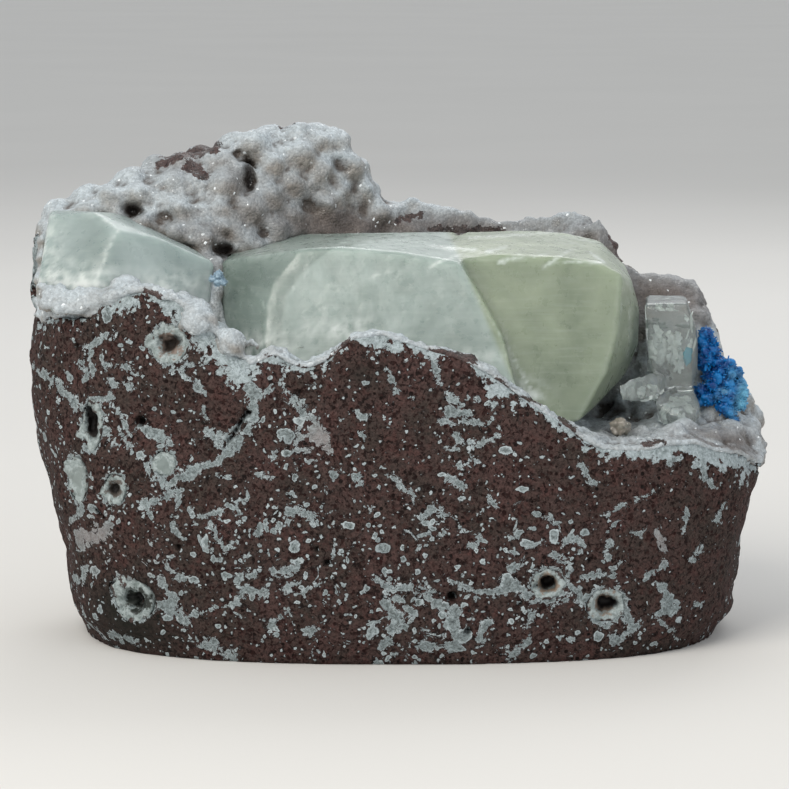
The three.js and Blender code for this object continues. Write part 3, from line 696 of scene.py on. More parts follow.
def makeBasalt():
    # the rock's skin runs on just under the crust and the fillings, so no groove shows where they begin
    whole = mergedCopy("basalt_matrix", "zeolite_druse", *pocketNodes)
    whole.normal_update()
    for vert in whole.verts:
        vert.co += vert.normal * basalt["joined"]
    mesh = remeshed(whole, "basaltRough", basalt["voxel"])
    writePoints(mesh, relaxed(mesh, readPoints(mesh), basalt["facetSmoothing"]))
    mesh = dividedFront(mesh, "basaltBlock")
    points = readPoints(mesh)
    normals = readNormals(mesh)
    ground = onGroundFront(points, normals)
    toCrust = awayFrom(drusePath, points)
    toPocket = awayFrom(pocketPath, points)
    above = aboveRim(points)
    facets = cells(points, basalt["facetSize"], 5.0)
    broken = rough(points, basalt["lumpSize"], 4, 3.1) * 0.6 + (facets[:, 1] - facets[:, 0]) * 0.9 - 0.4
    shift = basalt["backRelief"] * broken * (1 - ground)
    shift += basalt["frontRelief"] * rough(points, basalt["grainSize"], 3, 9.0)
    shift *= smoothStep(points[:, 2], basalt["baseHeight"], 3 * mm)
    nearCrust = smoothStep(1.4 - toCrust, 0.0, 0.8)
    shift -= basalt["underCrust"] * nearCrust * (1 - ground)
    shift -= basalt["underLip"] * nearCrust * ground * smoothStep(above, 0.3, 1.5)
    points = pushed(points, normals, shift)
    cavityBack = cavityPress(points)[0]
    points = pushed(points, viewForward, cavityBack * (1 - ground))
    points[:, 1] += basalt["underFilling"] * insidePockets(points) * smoothStep(ground, 0.0, 0.3)
    points = pulledIn(points)
    deep = np.zeros(len(points))
    for x, y, radius, depth in basalt["pits"]:
        place, normal = pixelHit(frontPath, x, y)
        away = np.linalg.norm(points - np.array(place), axis=1) / (radius * mm)
        pressed = 1 - smoothStep(away, 0.4, 1.0)
        points = pushed(points, normal, -pressed * depth * mm)
        deep = np.maximum(deep, pressed)
    slit = smoothStep(strokeDepth(points, basalt["slits"]), -0.1, 0.3) * ground
    points[:, 1] += slit * basalt["slitDepth"]
    base = points[:, 2] < basalt["baseHeight"]
    points[base, 2] = np.minimum(points[base, 2], 0.0001).clip(0)
    writePoints(mesh, points)
    seen = ground > 0.02
    addAttribute(mesh, "rim", np.where(seen, above, np.where(cavityBack > 0, -3.0, 0.8 - toCrust)))
    # painted shade: the pits and slits are painted near-black inside
    addAttribute(mesh, "deep", np.maximum(deep, slit) ** 1.3)
    wander = np.zeros_like(points)
    for axis, seed in ((0, 31.0), (2, 37.0)):
        wander[:, axis] = rough(points, basalt["wanderSize"], 2, seed)
    vein = strokeDepth(points + basalt["veinWander"] * wander, basalt["veins"], basalt["slim"])
    vein = np.maximum(vein + 0.5 * rough(points, 2.2 * mm, 2, 41.0), 0.5 - toPocket)
    addAttribute(mesh, "vein", np.where(seen, vein, farOutside))
    addAttribute(mesh, "crowd", np.where(seen, patches(points, basalt["crowding"]).clip(-1, 0.9), 0.0))
    addAttribute(mesh, "darkStretch", np.where(seen, patches(points, basalt["darkStretch"]).clip(0, 0.9), 0.0))
    addAttribute(mesh, "pink", np.where(seen, patches(points, basalt["pink"]).clip(0, 0.9) * 0.6, 0.0))
    finishPiece(mesh, "basaltBlock", amygdaloidalBasalt(), ["basalt_matrix"])


makeBasalt()


# zeolite crust
druse = {
    "voxel": 0.62 * mm,
    # lobes in two sizes: spacing, smallest and largest radius, share of the radius that the centre lies below
    "lobes": [(5.0 * mm, 2.2 * mm, 4.6 * mm, 0.42), (3.0 * mm, 0.8 * mm, 1.7 * mm, 0.4)],
    "largeLobe": 2 * mm,  # lobes that can grow over this stay off the end walls
    "endWalls": (50, 618, 400),  # left of the first, or right of the second and above the third, in pixels
    "lowCrest": (380, 640),  # pixels across, between which the crest carries finer lobes than the mound
    "finer": 0.6,
    "smoothing": 4,
    "moundSmoothing": 2,  # the mound is softer still than the right end
    "moundEnd": 410,  # pixels across
    "swell": 0.9 * mm,
    "lipDepth": 13.0 * mm,  # the lip was ground flat together with the rock, so no large lobes stand on it
    "lipHeight": 4.5,
    "lipRelief": 0.75 * mm,
    "sugar": 0.95 * mm,  # size of the crystals that roughen it
    "sugarRelief": 0.16 * mm,
    "proud": 0.14 * mm,  # how far the crust stands out of the ground front
    "dip": 0.9 * mm,  # how far it dips behind the rock where it ends
    "smallHollows": 7,  # rounds of smoothing that small and large hollows are measured against
    "largeHollows": 40,
    # brown rock left bare, and dark cracks: pixel across and down at each end, half-width at each end in mm
    "bare": [
        (158, 164, 214, 146, 0.9, 1.3), (190, 166, 204, 174, 1.4, 1.0), (281, 126, 292, 121, 0.5, 0.7),
        (398, 221, 420, 214, 0.6, 0.8), (432, 229, 500, 231, 0.7, 0.8), (586, 213, 596, 216, 0.6, 0.5),
        (612, 238, 622, 262, 0.7, 0.7), (642, 444, 664, 441, 0.7, 0.6), (690, 448, 712, 458, 0.5, 0.6),
        (490, 386, 500, 390, 0.7, 0.5), (270, 357, 282, 362, 0.7, 0.6), (520, 398, 540, 402, 0.4, 0.4),
        (333, 362, 347, 341, 1.2, 0.9), (382, 349, 394, 351, 0.9, 0.8), (428, 352, 474, 359, 0.9, 1.0),
        (497, 380, 520, 402, 0.8, 0.7), (560, 418, 574, 430, 0.8, 0.7), (146, 291, 160, 300, 0.7, 0.8),
        (299, 369, 312, 372, 0.8, 0.6),
    ],
    # painted shade in recesses, with taupe tone in places: pixel across and down, half-sizes, strength
    "taupeAndShade": [
        (668, 300, 60, 30, 1.0), (708, 440, 40, 20, 0.75), (600, 255, 50, 40, 0.7), (440, 226, 110, 14, 0.8),
        (620, 430, 30, 12, 0.6), (745, 450, 24, 24, 0.5), (180, 160, 44, 20, 0.5),
        (300, 190, 50, 30, 0.35), (160, 230, 60, 20, 0.3), (330, 232, 60, 18, 0.6), (210, 255, 30, 30, 0.5),
        (735, 350, 20, 30, 0.3), (338, 220, 22, 12, 0.6), (236, 182, 16, 22, 0.45), (262, 214, 44, 20, 0.3),
    ],
    # crust that fills the gaps between the crystals: pixel across and down, how far back, radius in mm
    "packing": [
        (217, 262, -6.4, 1.7), (215, 270, -8.0, 2.4), (213, 282, -10.0, 2.2), (216, 292, -11.0, 2.4),
        (211, 302, -12.0, 2.4), (217, 312, -12.5, 2.1), (208, 318, -14.4, 1.9), (219, 326, -13.4, 1.9),
        (226, 340, -16.2, 2.0), (200, 308, -13.0, 1.6), (213, 319, -13.8, 1.5), (224, 332, -14.8, 1.7),
        (214, 330, -14.8, 1.5), (234, 346, -17.0, 1.1), (219, 337, -16.4, 1.3), (228, 348, -17.4, 1.2),
        (205, 313, -14.2, 1.3), (222, 318, -13.0, 1.3), (229, 327, -13.6, 1.2), (236, 340, -16.2, 0.9),
        (64, 314, -20.0, 1.4), (72, 316, -20.5, 1.5), (80, 317, -21.0, 1.6), (88, 316, -21.5, 1.5),
        (96, 313, -22.0, 1.4), (45, 303, -18.0, 1.5), (51, 308, -19.0, 1.5), (58, 312, -19.5, 1.4),
        (41, 296, -17.5, 1.3), (252, 246, 4.0, 1.8), (264, 240, 6.0, 2.0), (276, 237, 8.0, 1.9),
        (288, 232, 10.0, 2.2), (300, 230, 12.0, 1.8), (240, 252, 2.0, 1.7), (207, 284, -10.5, 1.9),
        (205, 294, -11.5, 2.0), (203, 304, -12.5, 2.0), (210, 270, -9.0, 1.8),
    ],
    # where it climbs on to the crystals: pixels across and down at each end, how many lumps, radius in mm
    "climbing": [
        (30, 302, 68, 302, 10, 1.5), (34, 290, 100, 297, 13, 1.4), (84, 300, 128, 288, 10, 1.5),
        (38, 312, 106, 313, 16, 1.3), (64, 306, 118, 304, 12, 1.4),
        (128, 286, 168, 296, 8, 1.4), (168, 294, 205, 304, 8, 1.5), (222, 336, 285, 354, 14, 1.2),
        (285, 355, 345, 340, 10, 0.8), (480, 366, 545, 406, 12, 0.7), (334, 202, 350, 206, 6, 2.4),
        (332, 220, 346, 222, 4, 2.0), (308, 230, 322, 230, 3, 1.4),
    ],
    "pale": [
        (672, 272, 42, 5, 0.4), (275, 240, 26, 12, 0.5), (742, 415, 14, 10, 0.4), (120, 170, 30, 20, 0.3),
    ],
}


def sugaryZeolite():
    # zeolite druse, a crust of tiny grown crystals: bluish-white lobes painted whiter where they face up, painted
    # taupe shade in hollows and cavities, and painted glitter highlights
    material, tree, shader, inMm = newMaterial("sugaryZeoliteDruse")
    read = {name: addNode(tree, "ShaderNodeAttribute", {"attribute_name": name}).outputs["Fac"]
            for name in ("hollow", "topLightAndGroundWhite", "bare", "cavity", "taupeAndShade", "pale")}
    cloud = addNode(tree, "ShaderNodeTexNoise", {"Scale": 0.26, "Detail": 5.0, "Roughness": 0.65},
                    {"Vector": inMm})
    lift = addNode(tree, "ShaderNodeMath", {"operation": "MULTIPLY_ADD", 1: 1.5, 2: -0.75},
                   {0: cloud.outputs[0]})
    # painted top light: faces that turn up are painted whiter
    paler = addNode(tree, "ShaderNodeMath", {"operation": "ADD"}, {0: read["topLightAndGroundWhite"], 1: read["pale"]})
    whiteness = addNode(tree, "ShaderNodeMath", {"operation": "ADD", "use_clamp": True},
                        {0: paler.outputs[0], 1: lift.outputs[0]})
    body = addNode(tree, "ShaderNodeMix",
                   {"data_type": "RGBA", 6: toLinear("#8d8983"), 7: toLinear("#b6bfc4")},
                   {0: whiteness.outputs[0]})
    shaded = body.outputs[2]
    # painted shade: the taupe stretches, the hollows and the cavities are darkened in turn
    for name, tint in (("taupeAndShade", "#594f4a"), ("hollow", "#4f463f"), ("cavity", "#1f1a17")):
        shaded = addNode(tree, "ShaderNodeMix", {"data_type": "RGBA", 7: toLinear(tint)},
                         {0: read[name], 6: shaded}).outputs[2]
    grain = addNode(tree, "ShaderNodeTexVoronoi", {"Scale": 2.2}, {"Vector": inMm})  # crystals of about 0.45 mm
    split = addNode(tree, "ShaderNodeSeparateColor", {}, {0: grain.outputs["Color"]})
    speckle = addNode(tree, "ShaderNodeMapRange", {"To Min": 0.8, "To Max": 1.18}, {"Value": split.outputs[0]})
    speckled = addNode(tree, "ShaderNodeMix", {"data_type": "RGBA", "blend_type": "MULTIPLY", 0: 1.0},
                       {6: shaded, 7: speckle.outputs[0]})
    # painted highlights: about one crystal in a hundred is painted near-white, as glitter
    paintedGlint = addNode(tree, "ShaderNodeMapRange", {"From Min": 0.991, "From Max": 0.995, "To Max": 0.85},
                    {"Value": split.outputs[1]})
    paintedGlinted = addNode(tree, "ShaderNodeMix", {"data_type": "RGBA", 7: toLinear("#f0f5f7")},
                      {0: paintedGlint.outputs[0], 6: speckled.outputs[2]})
    ragged = addNode(tree, "ShaderNodeTexNoise", {"Scale": 0.75, "Detail": 5.0, "Roughness": 0.65},
                     {"Vector": inMm})
    edge = addNode(tree, "ShaderNodeMath", {"operation": "MULTIPLY_ADD", 1: 4.0, 2: -2.0},
                   {0: ragged.outputs[0]})
    bareDepth = addNode(tree, "ShaderNodeMath", {"operation": "ADD"}, {0: read["bare"], 1: edge.outputs[0]})
    bareMask = addNode(tree, "ShaderNodeMapRange", {"From Min": 0.0, "From Max": 0.2},
                       {"Value": bareDepth.outputs[0]})
    rock = groundMass(tree, inMm)[0]
    final = addNode(tree, "ShaderNodeMix", {"data_type": "RGBA"},
                    {0: bareMask.outputs[0], 6: paintedGlinted.outputs[2], 7: rock})
    glint = addNode(tree, "ShaderNodeMapRange",
                    {"From Min": 0.84, "From Max": 0.93, "To Min": 0.5, "To Max": 0.1},
                    {"Value": split.outputs[1]})
    height = addNode(tree, "ShaderNodeMath", {"operation": "MULTIPLY_ADD", 1: -0.6},
                     {0: grain.outputs["Distance"], 2: split.outputs[2]})
    bump = addNode(tree, "ShaderNodeBump", {"Strength": 0.6, "Distance": 0.0004}, {"Height": height.outputs[0]})
    setNode(tree, shader,
            {"Subsurface Weight": 0.15, "Subsurface Radius": (1.0, 0.95, 0.9), "Subsurface Scale": 0.0008,
             "IOR": 1.5},
            {"Base Color": final.outputs[2], "Roughness": glint.outputs[0], "Normal": bump.outputs[0]})
    return material


def crustPlaces():  # points on the crust seen from the front, above and the side, and its normal there
    found = []
    for y in range(112, 480, 6):
        for x in range(30, 772, 6):
            found.append(pixelHit(drusePath, x + (y % 4), y))
    for stepX in range(-46, 47):
        for stepY in range(-25, 25):
            start = Vector((stepX * 1.5 * mm, stepY * 1.5 * mm, 0.12))
            found.append(drusePath.ray_cast(start, Vector((0, 0, -1)))[:2])
            side = Vector((0.1, stepY * 1.5 * mm, 0.065 + stepX * 0.8 * mm))
            found.append(drusePath.ray_cast(side, Vector((-1, 0, 0)))[:2])
    found = [(place, normal) for place, normal in found if place is not None and normal.z > -0.3]
    places, normals = (np.array([list(hit[part]) for hit in found]) for part in (0, 1))
    loose = onGroundFront(places, normals) < 0.3
    return places[loose], normals[loose]


def addLobe(whole, centre, radius):
    shape = bmesh.new()
    bmesh.ops.create_icosphere(shape, subdivisions=2, radius=radius, matrix=Matrix.Translation(centre))
    addShape(whole, shape)


def scattered(places, spacing, randomDraw):  # an irregular choice of places, none nearer than the spacing
    order = list(range(len(places)))
    randomDraw.shuffle(order)
    taken = {}
    chosen = []
    for index in order:
        cell = tuple(math.floor(c / spacing) for c in places[index])
        near = [other for i in (-1, 0, 1) for j in (-1, 0, 1) for k in (-1, 0, 1)
                for other in taken.get((cell[0] + i, cell[1] + j, cell[2] + k), ())]
        if all(np.linalg.norm(places[index] - places[other]) > spacing for other in near):
            taken.setdefault(cell, []).append(index)
            chosen.append(index)
    return chosen


def onLip(points):  # 1 on the lip in front of the crystals
    reach = along(frontLine, points[:, 0])
    forward = smoothStep(reach + druse["lipDepth"] - points[:, 1], 0, 3 * mm)
    return forward * smoothStep(druse["lipHeight"] + 1.5 - aboveRim(points), 0, 2)


def addLobes(whole):
    randomDraw = random.Random(11)
    places, normals = crustPlaces()
    across, down = toPixels(places)
    leftWall, rightWall, rightWallFoot = druse["endWalls"]
    onEndWall = ((across > rightWall) & (down < rightWallFoot)) | (across < leftWall)
    crestStart, crestEnd = druse["lowCrest"]
    barred = (cavityPress(places)[1] > 0.3) | (onLip(places) > 0.3)
    for spacing, smallest, largest, sunk in druse["lobes"]:
        free = np.flatnonzero(~(barred | (onEndWall & (largest > druse["largeLobe"]))))
        for index in scattered(places[free], spacing, randomDraw):
            place, normal = places[free[index]], normals[free[index]]
            lump = (0.5 + 0.5 * noise.noise(Vector(place) / (7 * mm))) ** 1.5
            radius = smallest + (largest - smallest) * (0.6 * randomDraw.random() ** 1.4 + 0.4 * lump)
            if crestStart < across[free[index]] < crestEnd:
                radius *= druse["finer"]
            addLobe(whole, place - normal * radius * sunk, radius)
    for x, y, depth, radius in druse["packing"]:
        addLobe(whole, pixelPlace(x, y, depth), radius * mm)
    shown = BVHTree.FromBMesh(mergedCopy("zeolite_druse", "basalt_matrix", "calcite_main", "calcite_left"))
    for x0, y0, x1, y1, count, radius in druse["climbing"]:
        for step in range(count):
            share = (step + randomDraw.uniform(-0.4, 0.4)) / (count - 1)
            y = y0 + (y1 - y0) * share + randomDraw.uniform(-4, 4)
            place = pixelHit(shown, x0 + (x1 - x0) * share, y)[0]
            size = radius * mm * randomDraw.uniform(0.55, 1.1)
            if place is not None:
                addLobe(whole, place + pixelRay(x0, y0) * 0.45 * size, size)


def makeDruse():
    whole = mergedCopy("zeolite_druse")
    addLobes(whole)
    mesh = remeshed(whole, "zeoliteCrust", druse["voxel"])
    points = relaxed(mesh, readPoints(mesh), druse["smoothing"])
    lip = onLip(points)
    softer = smoothStep(druse["moundEnd"] - toPixels(points)[0], 0, 40) * (1 - lip)
    points += (relaxed(mesh, points, druse["moundSmoothing"]) - points) * softer[:, None]
    writePoints(mesh, points)
    normals = readNormals(mesh)
    ground = onGroundFront(points, normals)
    above = aboveRim(points)
    swell = druse["swell"] * rough(points, 6 * mm, 3, 12.0) * (1 - np.maximum(ground, lip))
    swell += druse["lipRelief"] * rough(points, 2.4 * mm, 4, 31.0) * lip * (1 - ground)
    points = pulledIn(pushed(points, normals, swell))
    back, cavity = cavityPress(points)
    points = pushed(points, viewForward, back * (1 - ground))
    sugar = cells(points, druse["sugar"], 2.0)
    relief = druse["sugarRelief"] * (0.45 - sugar[:, 0]) * 2
    points = pushed(points, normals, relief * (1 - 0.4 * ground))
    # on the ground front the crust stands slightly proud, and where it ends it dips behind the rock
    proud = smoothStep(above, -2.4, -0.6) * (druse["proud"] + druse["dip"]) - druse["dip"]
    proud -= 0.8 * mm * (1 - smoothStep(awayFrom(basaltPath, points), 0.3, 1.5))
    points = pushed(points, normals, proud * ground)
    # painted shade in the hollows, measured against smoothed copies of the surface
    near = relaxed(mesh, points, druse["smallHollows"])
    far = relaxed(mesh, near, druse["largeHollows"])
    hollow = 0.6 * smoothStep(np.einsum("ij,ij->i", near - points, normals) / mm, 0.0, 0.3)
    hollow += 0.75 * smoothStep(np.einsum("ij,ij->i", far - points, normals) / mm, 0.0, 1.1)
    writePoints(mesh, points)
    addAttribute(mesh, "hollow", hollow.clip(0, 0.95) * (1 - 0.6 * ground))
    # painted top light: whiter where the crust faces up; on the ground front a fixed whiteness
    addAttribute(mesh, "topLightAndGroundWhite", smoothStep(normals[:, 2], -0.3, 0.9) * (1 - ground) + 0.8 * ground)
    # painted shade in the cavities
    addAttribute(mesh, "cavity", (cavity ** 1.2).clip(0, 0.97) * (1 - ground))
    addAttribute(mesh, "bare", strokeDepth(points, druse["bare"]))
    # painted shade in the listed recesses, and taupe tone
    addAttribute(mesh, "taupeAndShade", patches(points, druse["taupeAndShade"]).clip(0, 0.95) * (1 - ground))
    addAttribute(mesh, "pale", patches(points, druse["pale"]).clip(0, 1))
    finishPiece(mesh, "zeoliteCrust", sugaryZeolite(), ["zeolite_druse"])


makeDruse()


# calcite crystals
calcite = {
    "voxel": 0.55 * mm,
    # rounds of smoothing that round every edge of these three; the fourth keeps its facets
    "worn": {"calcite_main": 4, "calcite_left": 3, "calcite_clear": 3},
    "bevel": 0.3 * mm,  # how far the edges of the faceted one are worn back
    "longestEdge": 0.3 * mm,  # in its mesh
    "growthRelief": {
        "calcite_main": 0.07 * mm, "calcite_left": 0.07 * mm, "calcite_knob": 0.9 * mm, "calcite_clear": 0.2 * mm,
    },
    "sugarRelief": {"calcite_knob": 0.4 * mm},
    "lightSpread": 0.007,  # how far light spreads inside
    # the warmer crystal of the main pair lies right of this line: pixels across and down at its two ends
    "seam": (458, 258, 520, 402),
    # shaded patches: pixel across and down, half-sizes, strength
    "dim": [
        (240, 275, 40, 26, 0.4), (560, 380, 50, 30, 0.3), (95, 250, 26, 40, 0.3), (630, 340, 12, 60, 0.2),
    ],
    # the edge of the main group's left face, painted darker as shade: pixels down and across
    "leftFace": [(236, 350), (255, 324), (275, 300), (298, 286), (345, 280), (375, 284)],
    "leftFaceDim": 0.42,
    # white lines on edges and flaws: pixels across and down at each end, half-width at each end in mm
    "streaks": [
        (432, 246, 476, 250, 0.2, 0.3), (486, 252, 506, 247, 0.3, 0.2), (514, 259, 548, 254, 0.2, 0.1),
        (556, 262, 602, 262, 0.1, 0.3), (280, 250, 340, 245, -0.1, 0.0), (253, 290, 262, 300, 0.1, 0.0),
        (262, 300, 280, 350, -0.1, -0.2), (96, 213, 118, 230, 0.1, 0.1), (118, 230, 92, 288, 0.0, -0.1),
        (458, 262, 478, 300, -0.1, -0.15), (478, 300, 540, 396, -0.1, -0.15), (498, 330, 530, 388, -0.2, 0.3),
        (372, 276, 392, 272, 0.0, 0.05), (430, 268, 438, 262, 0.2, 0.3), (437, 262, 462, 254, 0.3, 0.1),
        (470, 238, 560, 232, 0.15, 0.2), (500, 262, 520, 256, 0.4, 0.2), (545, 266, 570, 250, 0.3, 0.2),
        (590, 252, 604, 262, 0.2, 0.3), (426, 322, 440, 290, -0.2, -0.2), (622, 300, 616, 350, -0.1, -0.1),
        (630, 310, 628, 360, 0.0, -0.1),
    ],
    # white sugar that fades out on the crystals: pixel across and down, half-sizes, strength
    "frost": [
        (66, 286, 62, 20, 0.9), (44, 248, 18, 34, 0.7), (165, 286, 44, 14, 0.7), (252, 346, 44, 16, 0.7),
        (345, 330, 34, 12, 0.8), (470, 358, 34, 9, 0.6), (526, 394, 20, 14, 0.7), (600, 236, 40, 10, 0.5),
        (108, 210, 26, 10, 0.4), (258, 250, 26, 8, 0.4),
    ],
}


def milkyCalcite(name, pale, deep, cloudy):
    # calcite, grown in milky layers: glossy cleavage faces over a cloudy, faintly green body that light enters
    material, tree, shader, inMm = newMaterial(name)
    read = {key: addNode(tree, "ShaderNodeAttribute", {"attribute_name": key}).outputs["Fac"]
            for key in ("warm", "dim", "bright")}
    veil = addNode(tree, "ShaderNodeTexNoise",
                   {"Scale": 0.08, "Detail": 4.0, "Roughness": 0.55, "Distortion": 0.5}, {"Vector": inMm})
    veilShare = addNode(tree, "ShaderNodeMapRange", {"From Min": 0.33, "From Max": 0.67},
                        {"Value": veil.outputs[0]})
    body = addNode(tree, "ShaderNodeMix", {"data_type": "RGBA", 6: toLinear(deep), 7: toLinear(pale)},
                   {0: veilShare.outputs[0]})
    tinted = body.outputs[2]
    # warm is the yellower crystal's own tone; dim is painted shade
    for key, tint in (("warm", "#eeebd2"), ("dim", "#8f9c94")):
        tinted = addNode(tree, "ShaderNodeMix",
                         {"data_type": "RGBA", "blend_type": "MULTIPLY", 7: toLinear(tint)},
                         {0: read[key], 6: tinted}).outputs[2]
    layer = addNode(tree, "ShaderNodeMapping", {"Rotation": (0.3, 0.2, 0.1), "Scale": (0.1, 0.3, 1.3)},
                    {"Vector": inMm})
    streak = addNode(tree, "ShaderNodeTexNoise",
                     {"Scale": 1.0, "Detail": 5.0, "Roughness": 0.6, "Distortion": 0.3},
                     {"Vector": layer.outputs[0]})
    streakShare = addNode(tree, "ShaderNodeMapRange", {"From Min": 0.5, "From Max": 0.8, "To Max": 0.16},
                          {"Value": streak.outputs[0]})
    streaked = addNode(tree, "ShaderNodeMix", {"data_type": "RGBA", 7: toLinear("#c8d0c9")},
                       {0: streakShare.outputs[0], 6: tinted})
    brightened = addNode(tree, "ShaderNodeMix", {"data_type": "RGBA", 7: toLinear("#cfd6d2")},
                         {0: read["bright"], 6: streaked.outputs[2]})
    scuff = addNode(tree, "ShaderNodeTexNoise", {"Scale": 0.5, "Detail": 3.0}, {"Vector": inMm})
    gloss = addNode(tree, "ShaderNodeMapRange",
                    {"From Min": 0.3, "From Max": 0.7, "To Min": 0.22, "To Max": 0.45},
                    {"Value": scuff.outputs[0]})
    step = addNode(tree, "ShaderNodeTexNoise", {"Scale": 0.35, "Detail": 2.0, "Roughness": 0.5},
                   {"Vector": inMm})
    bump = addNode(tree, "ShaderNodeBump", {"Strength": 0.16, "Distance": 0.0008}, {"Height": step.outputs[0]})
    setNode(tree, shader,
            {"IOR": 1.6, "Subsurface Weight": cloudy, "Subsurface Radius": (0.9, 1.0, 0.9),
             "Subsurface Scale": calcite["lightSpread"]},
            {"Base Color": brightened.outputs[2], "Roughness": gloss.outputs[0], "Normal": bump.outputs[0]})
    return material


def facetedCopy(nodeName):  # a crystal with worn edges, its faces divided finely enough for relief
    bm = mergedCopy(nodeName)
    bmesh.ops.dissolve_limit(bm, angle_limit=math.radians(2), verts=bm.verts, edges=bm.edges)
    bmesh.ops.bevel(bm, geom=bm.edges, offset=calcite["bevel"], offset_type="OFFSET", segments=2, profile=0.5,
                    affect="EDGES", material=-1, clamp_overlap=True)
    bmesh.ops.triangulate(bm, faces=bm.faces)
    for _ in range(7):
        long = [e for e in bm.edges if e.calc_length() > calcite["longestEdge"]]
        if not long:
            break
        bmesh.ops.subdivide_edges(bm, edges=long, cuts=1)
        bmesh.ops.triangulate(bm, faces=bm.faces)
    bmesh.ops.recalc_face_normals(bm, faces=bm.faces)
    return bm


def makeCrystal(nodeName, name, material):
    if nodeName in calcite["worn"]:
        mesh = remeshed(mergedCopy(nodeName), name, calcite["voxel"])
        writePoints(mesh, relaxed(mesh, readPoints(mesh), calcite["worn"][nodeName]))
    else:
        mesh = meshOf(facetedCopy(nodeName), name)
    points = readPoints(mesh)
    normals = readNormals(mesh)
    growth = rough(points, 6 * mm, 3, 1.3) + 0.4 * rough(points, 1.5 * mm, 2, 4.0)
    points = pushed(points, normals, calcite["growthRelief"][nodeName] * growth)
    if nodeName in calcite["sugarRelief"]:
        grown = 0.5 - cells(points, 0.9 * mm, 7.0)[:, 0]
        points = pushed(points, normals, calcite["sugarRelief"][nodeName] * grown * 2)
    writePoints(mesh, points)
    x, y = toPixels(points)
    x0, y0, x1, y1 = calcite["seam"]
    beyond = x - x0 - (x1 - x0) * (y - y0) / (y1 - y0)
    isMain = nodeName == "calcite_main"
    addAttribute(mesh, "warm", smoothStep(beyond, -2, 5) * isMain)
    # painted shade on the main group's left face and in the listed patches
    leftFace = calcite["leftFaceDim"] * smoothStep(along(calcite["leftFace"], y) - x, -2, 3) * isMain
    addAttribute(mesh, "dim", (patches(points, calcite["dim"]) + leftFace).clip(0, 0.9))
    streak = strokeDepth(points, calcite["streaks"]) + 0.4 * rough(points, 0.8 * mm, 3, 6.0)
    frost = patches(points, calcite["frost"]) * (0.6 + 1.1 * rough(points, 1.6 * mm, 4, 9.0))
    addAttribute(mesh, "bright", np.maximum(smoothStep(streak, -0.3, 0.5) * 0.8, frost.clip(0, 0.85)))
    finishPiece(mesh, name, material, [nodeName])


def makeCalcites():
    for nodeName, name, finish, pale, deep, cloudy in (
            ("calcite_main", "calciteMain", "milkyCalciteMint", "#a4b1ac", "#84928c", 0.85),
            ("calcite_left", "calciteLeft", "milkyCalciteLeft", "#a4b1af", "#82918f", 0.85),
            ("calcite_knob", "calciteKnob", "milkyCalciteKnob", "#9a958a", "#6f685f", 0.3)):
        makeCrystal(nodeName, name, milkyCalcite(finish, pale, deep, cloudy))


makeCalcites()


# clear calcite and what is sealed in it
sealed = {
    # pixels across and down of two corners, share of the way through the crystal, half-thickness in mm, turn,
    # and how many bodies it is made of
    "fractureSheet": (652, 330, 682, 370, 0.16, 0.06, 0.5, 34),
    "fractureVeil": (652, 305, 682, 311, 0.15, 0.06, -0.3, 12),
    # a white sheet under the right facet, as painted light on that face
    "rightFacetHighlight": (685, 312, 693, 350, 0.12, 0.06, 0.1, 10),
    "lowerVeil": (628, 384, 658, 400, 0.3, 0.06, 0.3, 16),
    "blockVeil": (662, 398, 692, 424, 0.3, 0.06, 0.2, 18),
    "smokyBand": (650, 316, 682, 328, 0.4, 0.2, 0.2, 8),
    "hollowBubble": (660, 370, 682, 394, 0.14, 0.7, 0.0, 6),
    "tealBlade": (681, 349, 692, 362, 0.1, 0.3, 0.4, 1),
}


def clearCalcite():
    # nearly clear calcite with a few veils: bright reflections, and what lies behind and inside shows through
    material, tree, shader, inMm = newMaterial("clearCalcite")
    veil = addNode(tree, "ShaderNodeTexNoise",
                   {"Scale": 0.35, "Detail": 5.0, "Roughness": 0.65, "Distortion": 0.6}, {"Vector": inMm})
    gloss = addNode(tree, "ShaderNodeMapRange",
                    {"From Min": 0.45, "From Max": 0.7, "To Min": 0.05, "To Max": 0.3},
                    {"Value": veil.outputs[0]})
    tint = addNode(tree, "ShaderNodeMix",
                   {"data_type": "RGBA", 6: toLinear("#f4f8f6"), 7: toLinear("#dde8e4")},
                   {0: veil.outputs[0]})
    bump = addNode(tree, "ShaderNodeBump", {"Strength": 0.25, "Distance": 0.0005}, {"Height": veil.outputs[0]})
    setNode(tree, shader, {"Transmission Weight": 0.9, "IOR": 1.5},
            {"Base Color": tint.outputs[2], "Roughness": gloss.outputs[0], "Normal": bump.outputs[0]})
    return material


def sealedMineral(name, first, second, roughness):
    # flaws and small minerals inside the clear crystal: dull, mottled, with their own soft colour
    material, tree, shader, inMm = newMaterial(name)
    mottle = addNode(tree, "ShaderNodeTexNoise", {"Scale": 1.1, "Detail": 5.0, "Roughness": 0.7},
                     {"Vector": inMm})
    share = addNode(tree, "ShaderNodeMapRange", {"From Min": 0.35, "From Max": 0.65},
                    {"Value": mottle.outputs[0]})
    body = addNode(tree, "ShaderNodeMix", {"data_type": "RGBA", 6: toLinear(first), 7: toLinear(second)},
                   {0: share.outputs[0]})
    setNode(tree, shader, {"Roughness": roughness}, {"Base Color": body.outputs[2]})
    return material


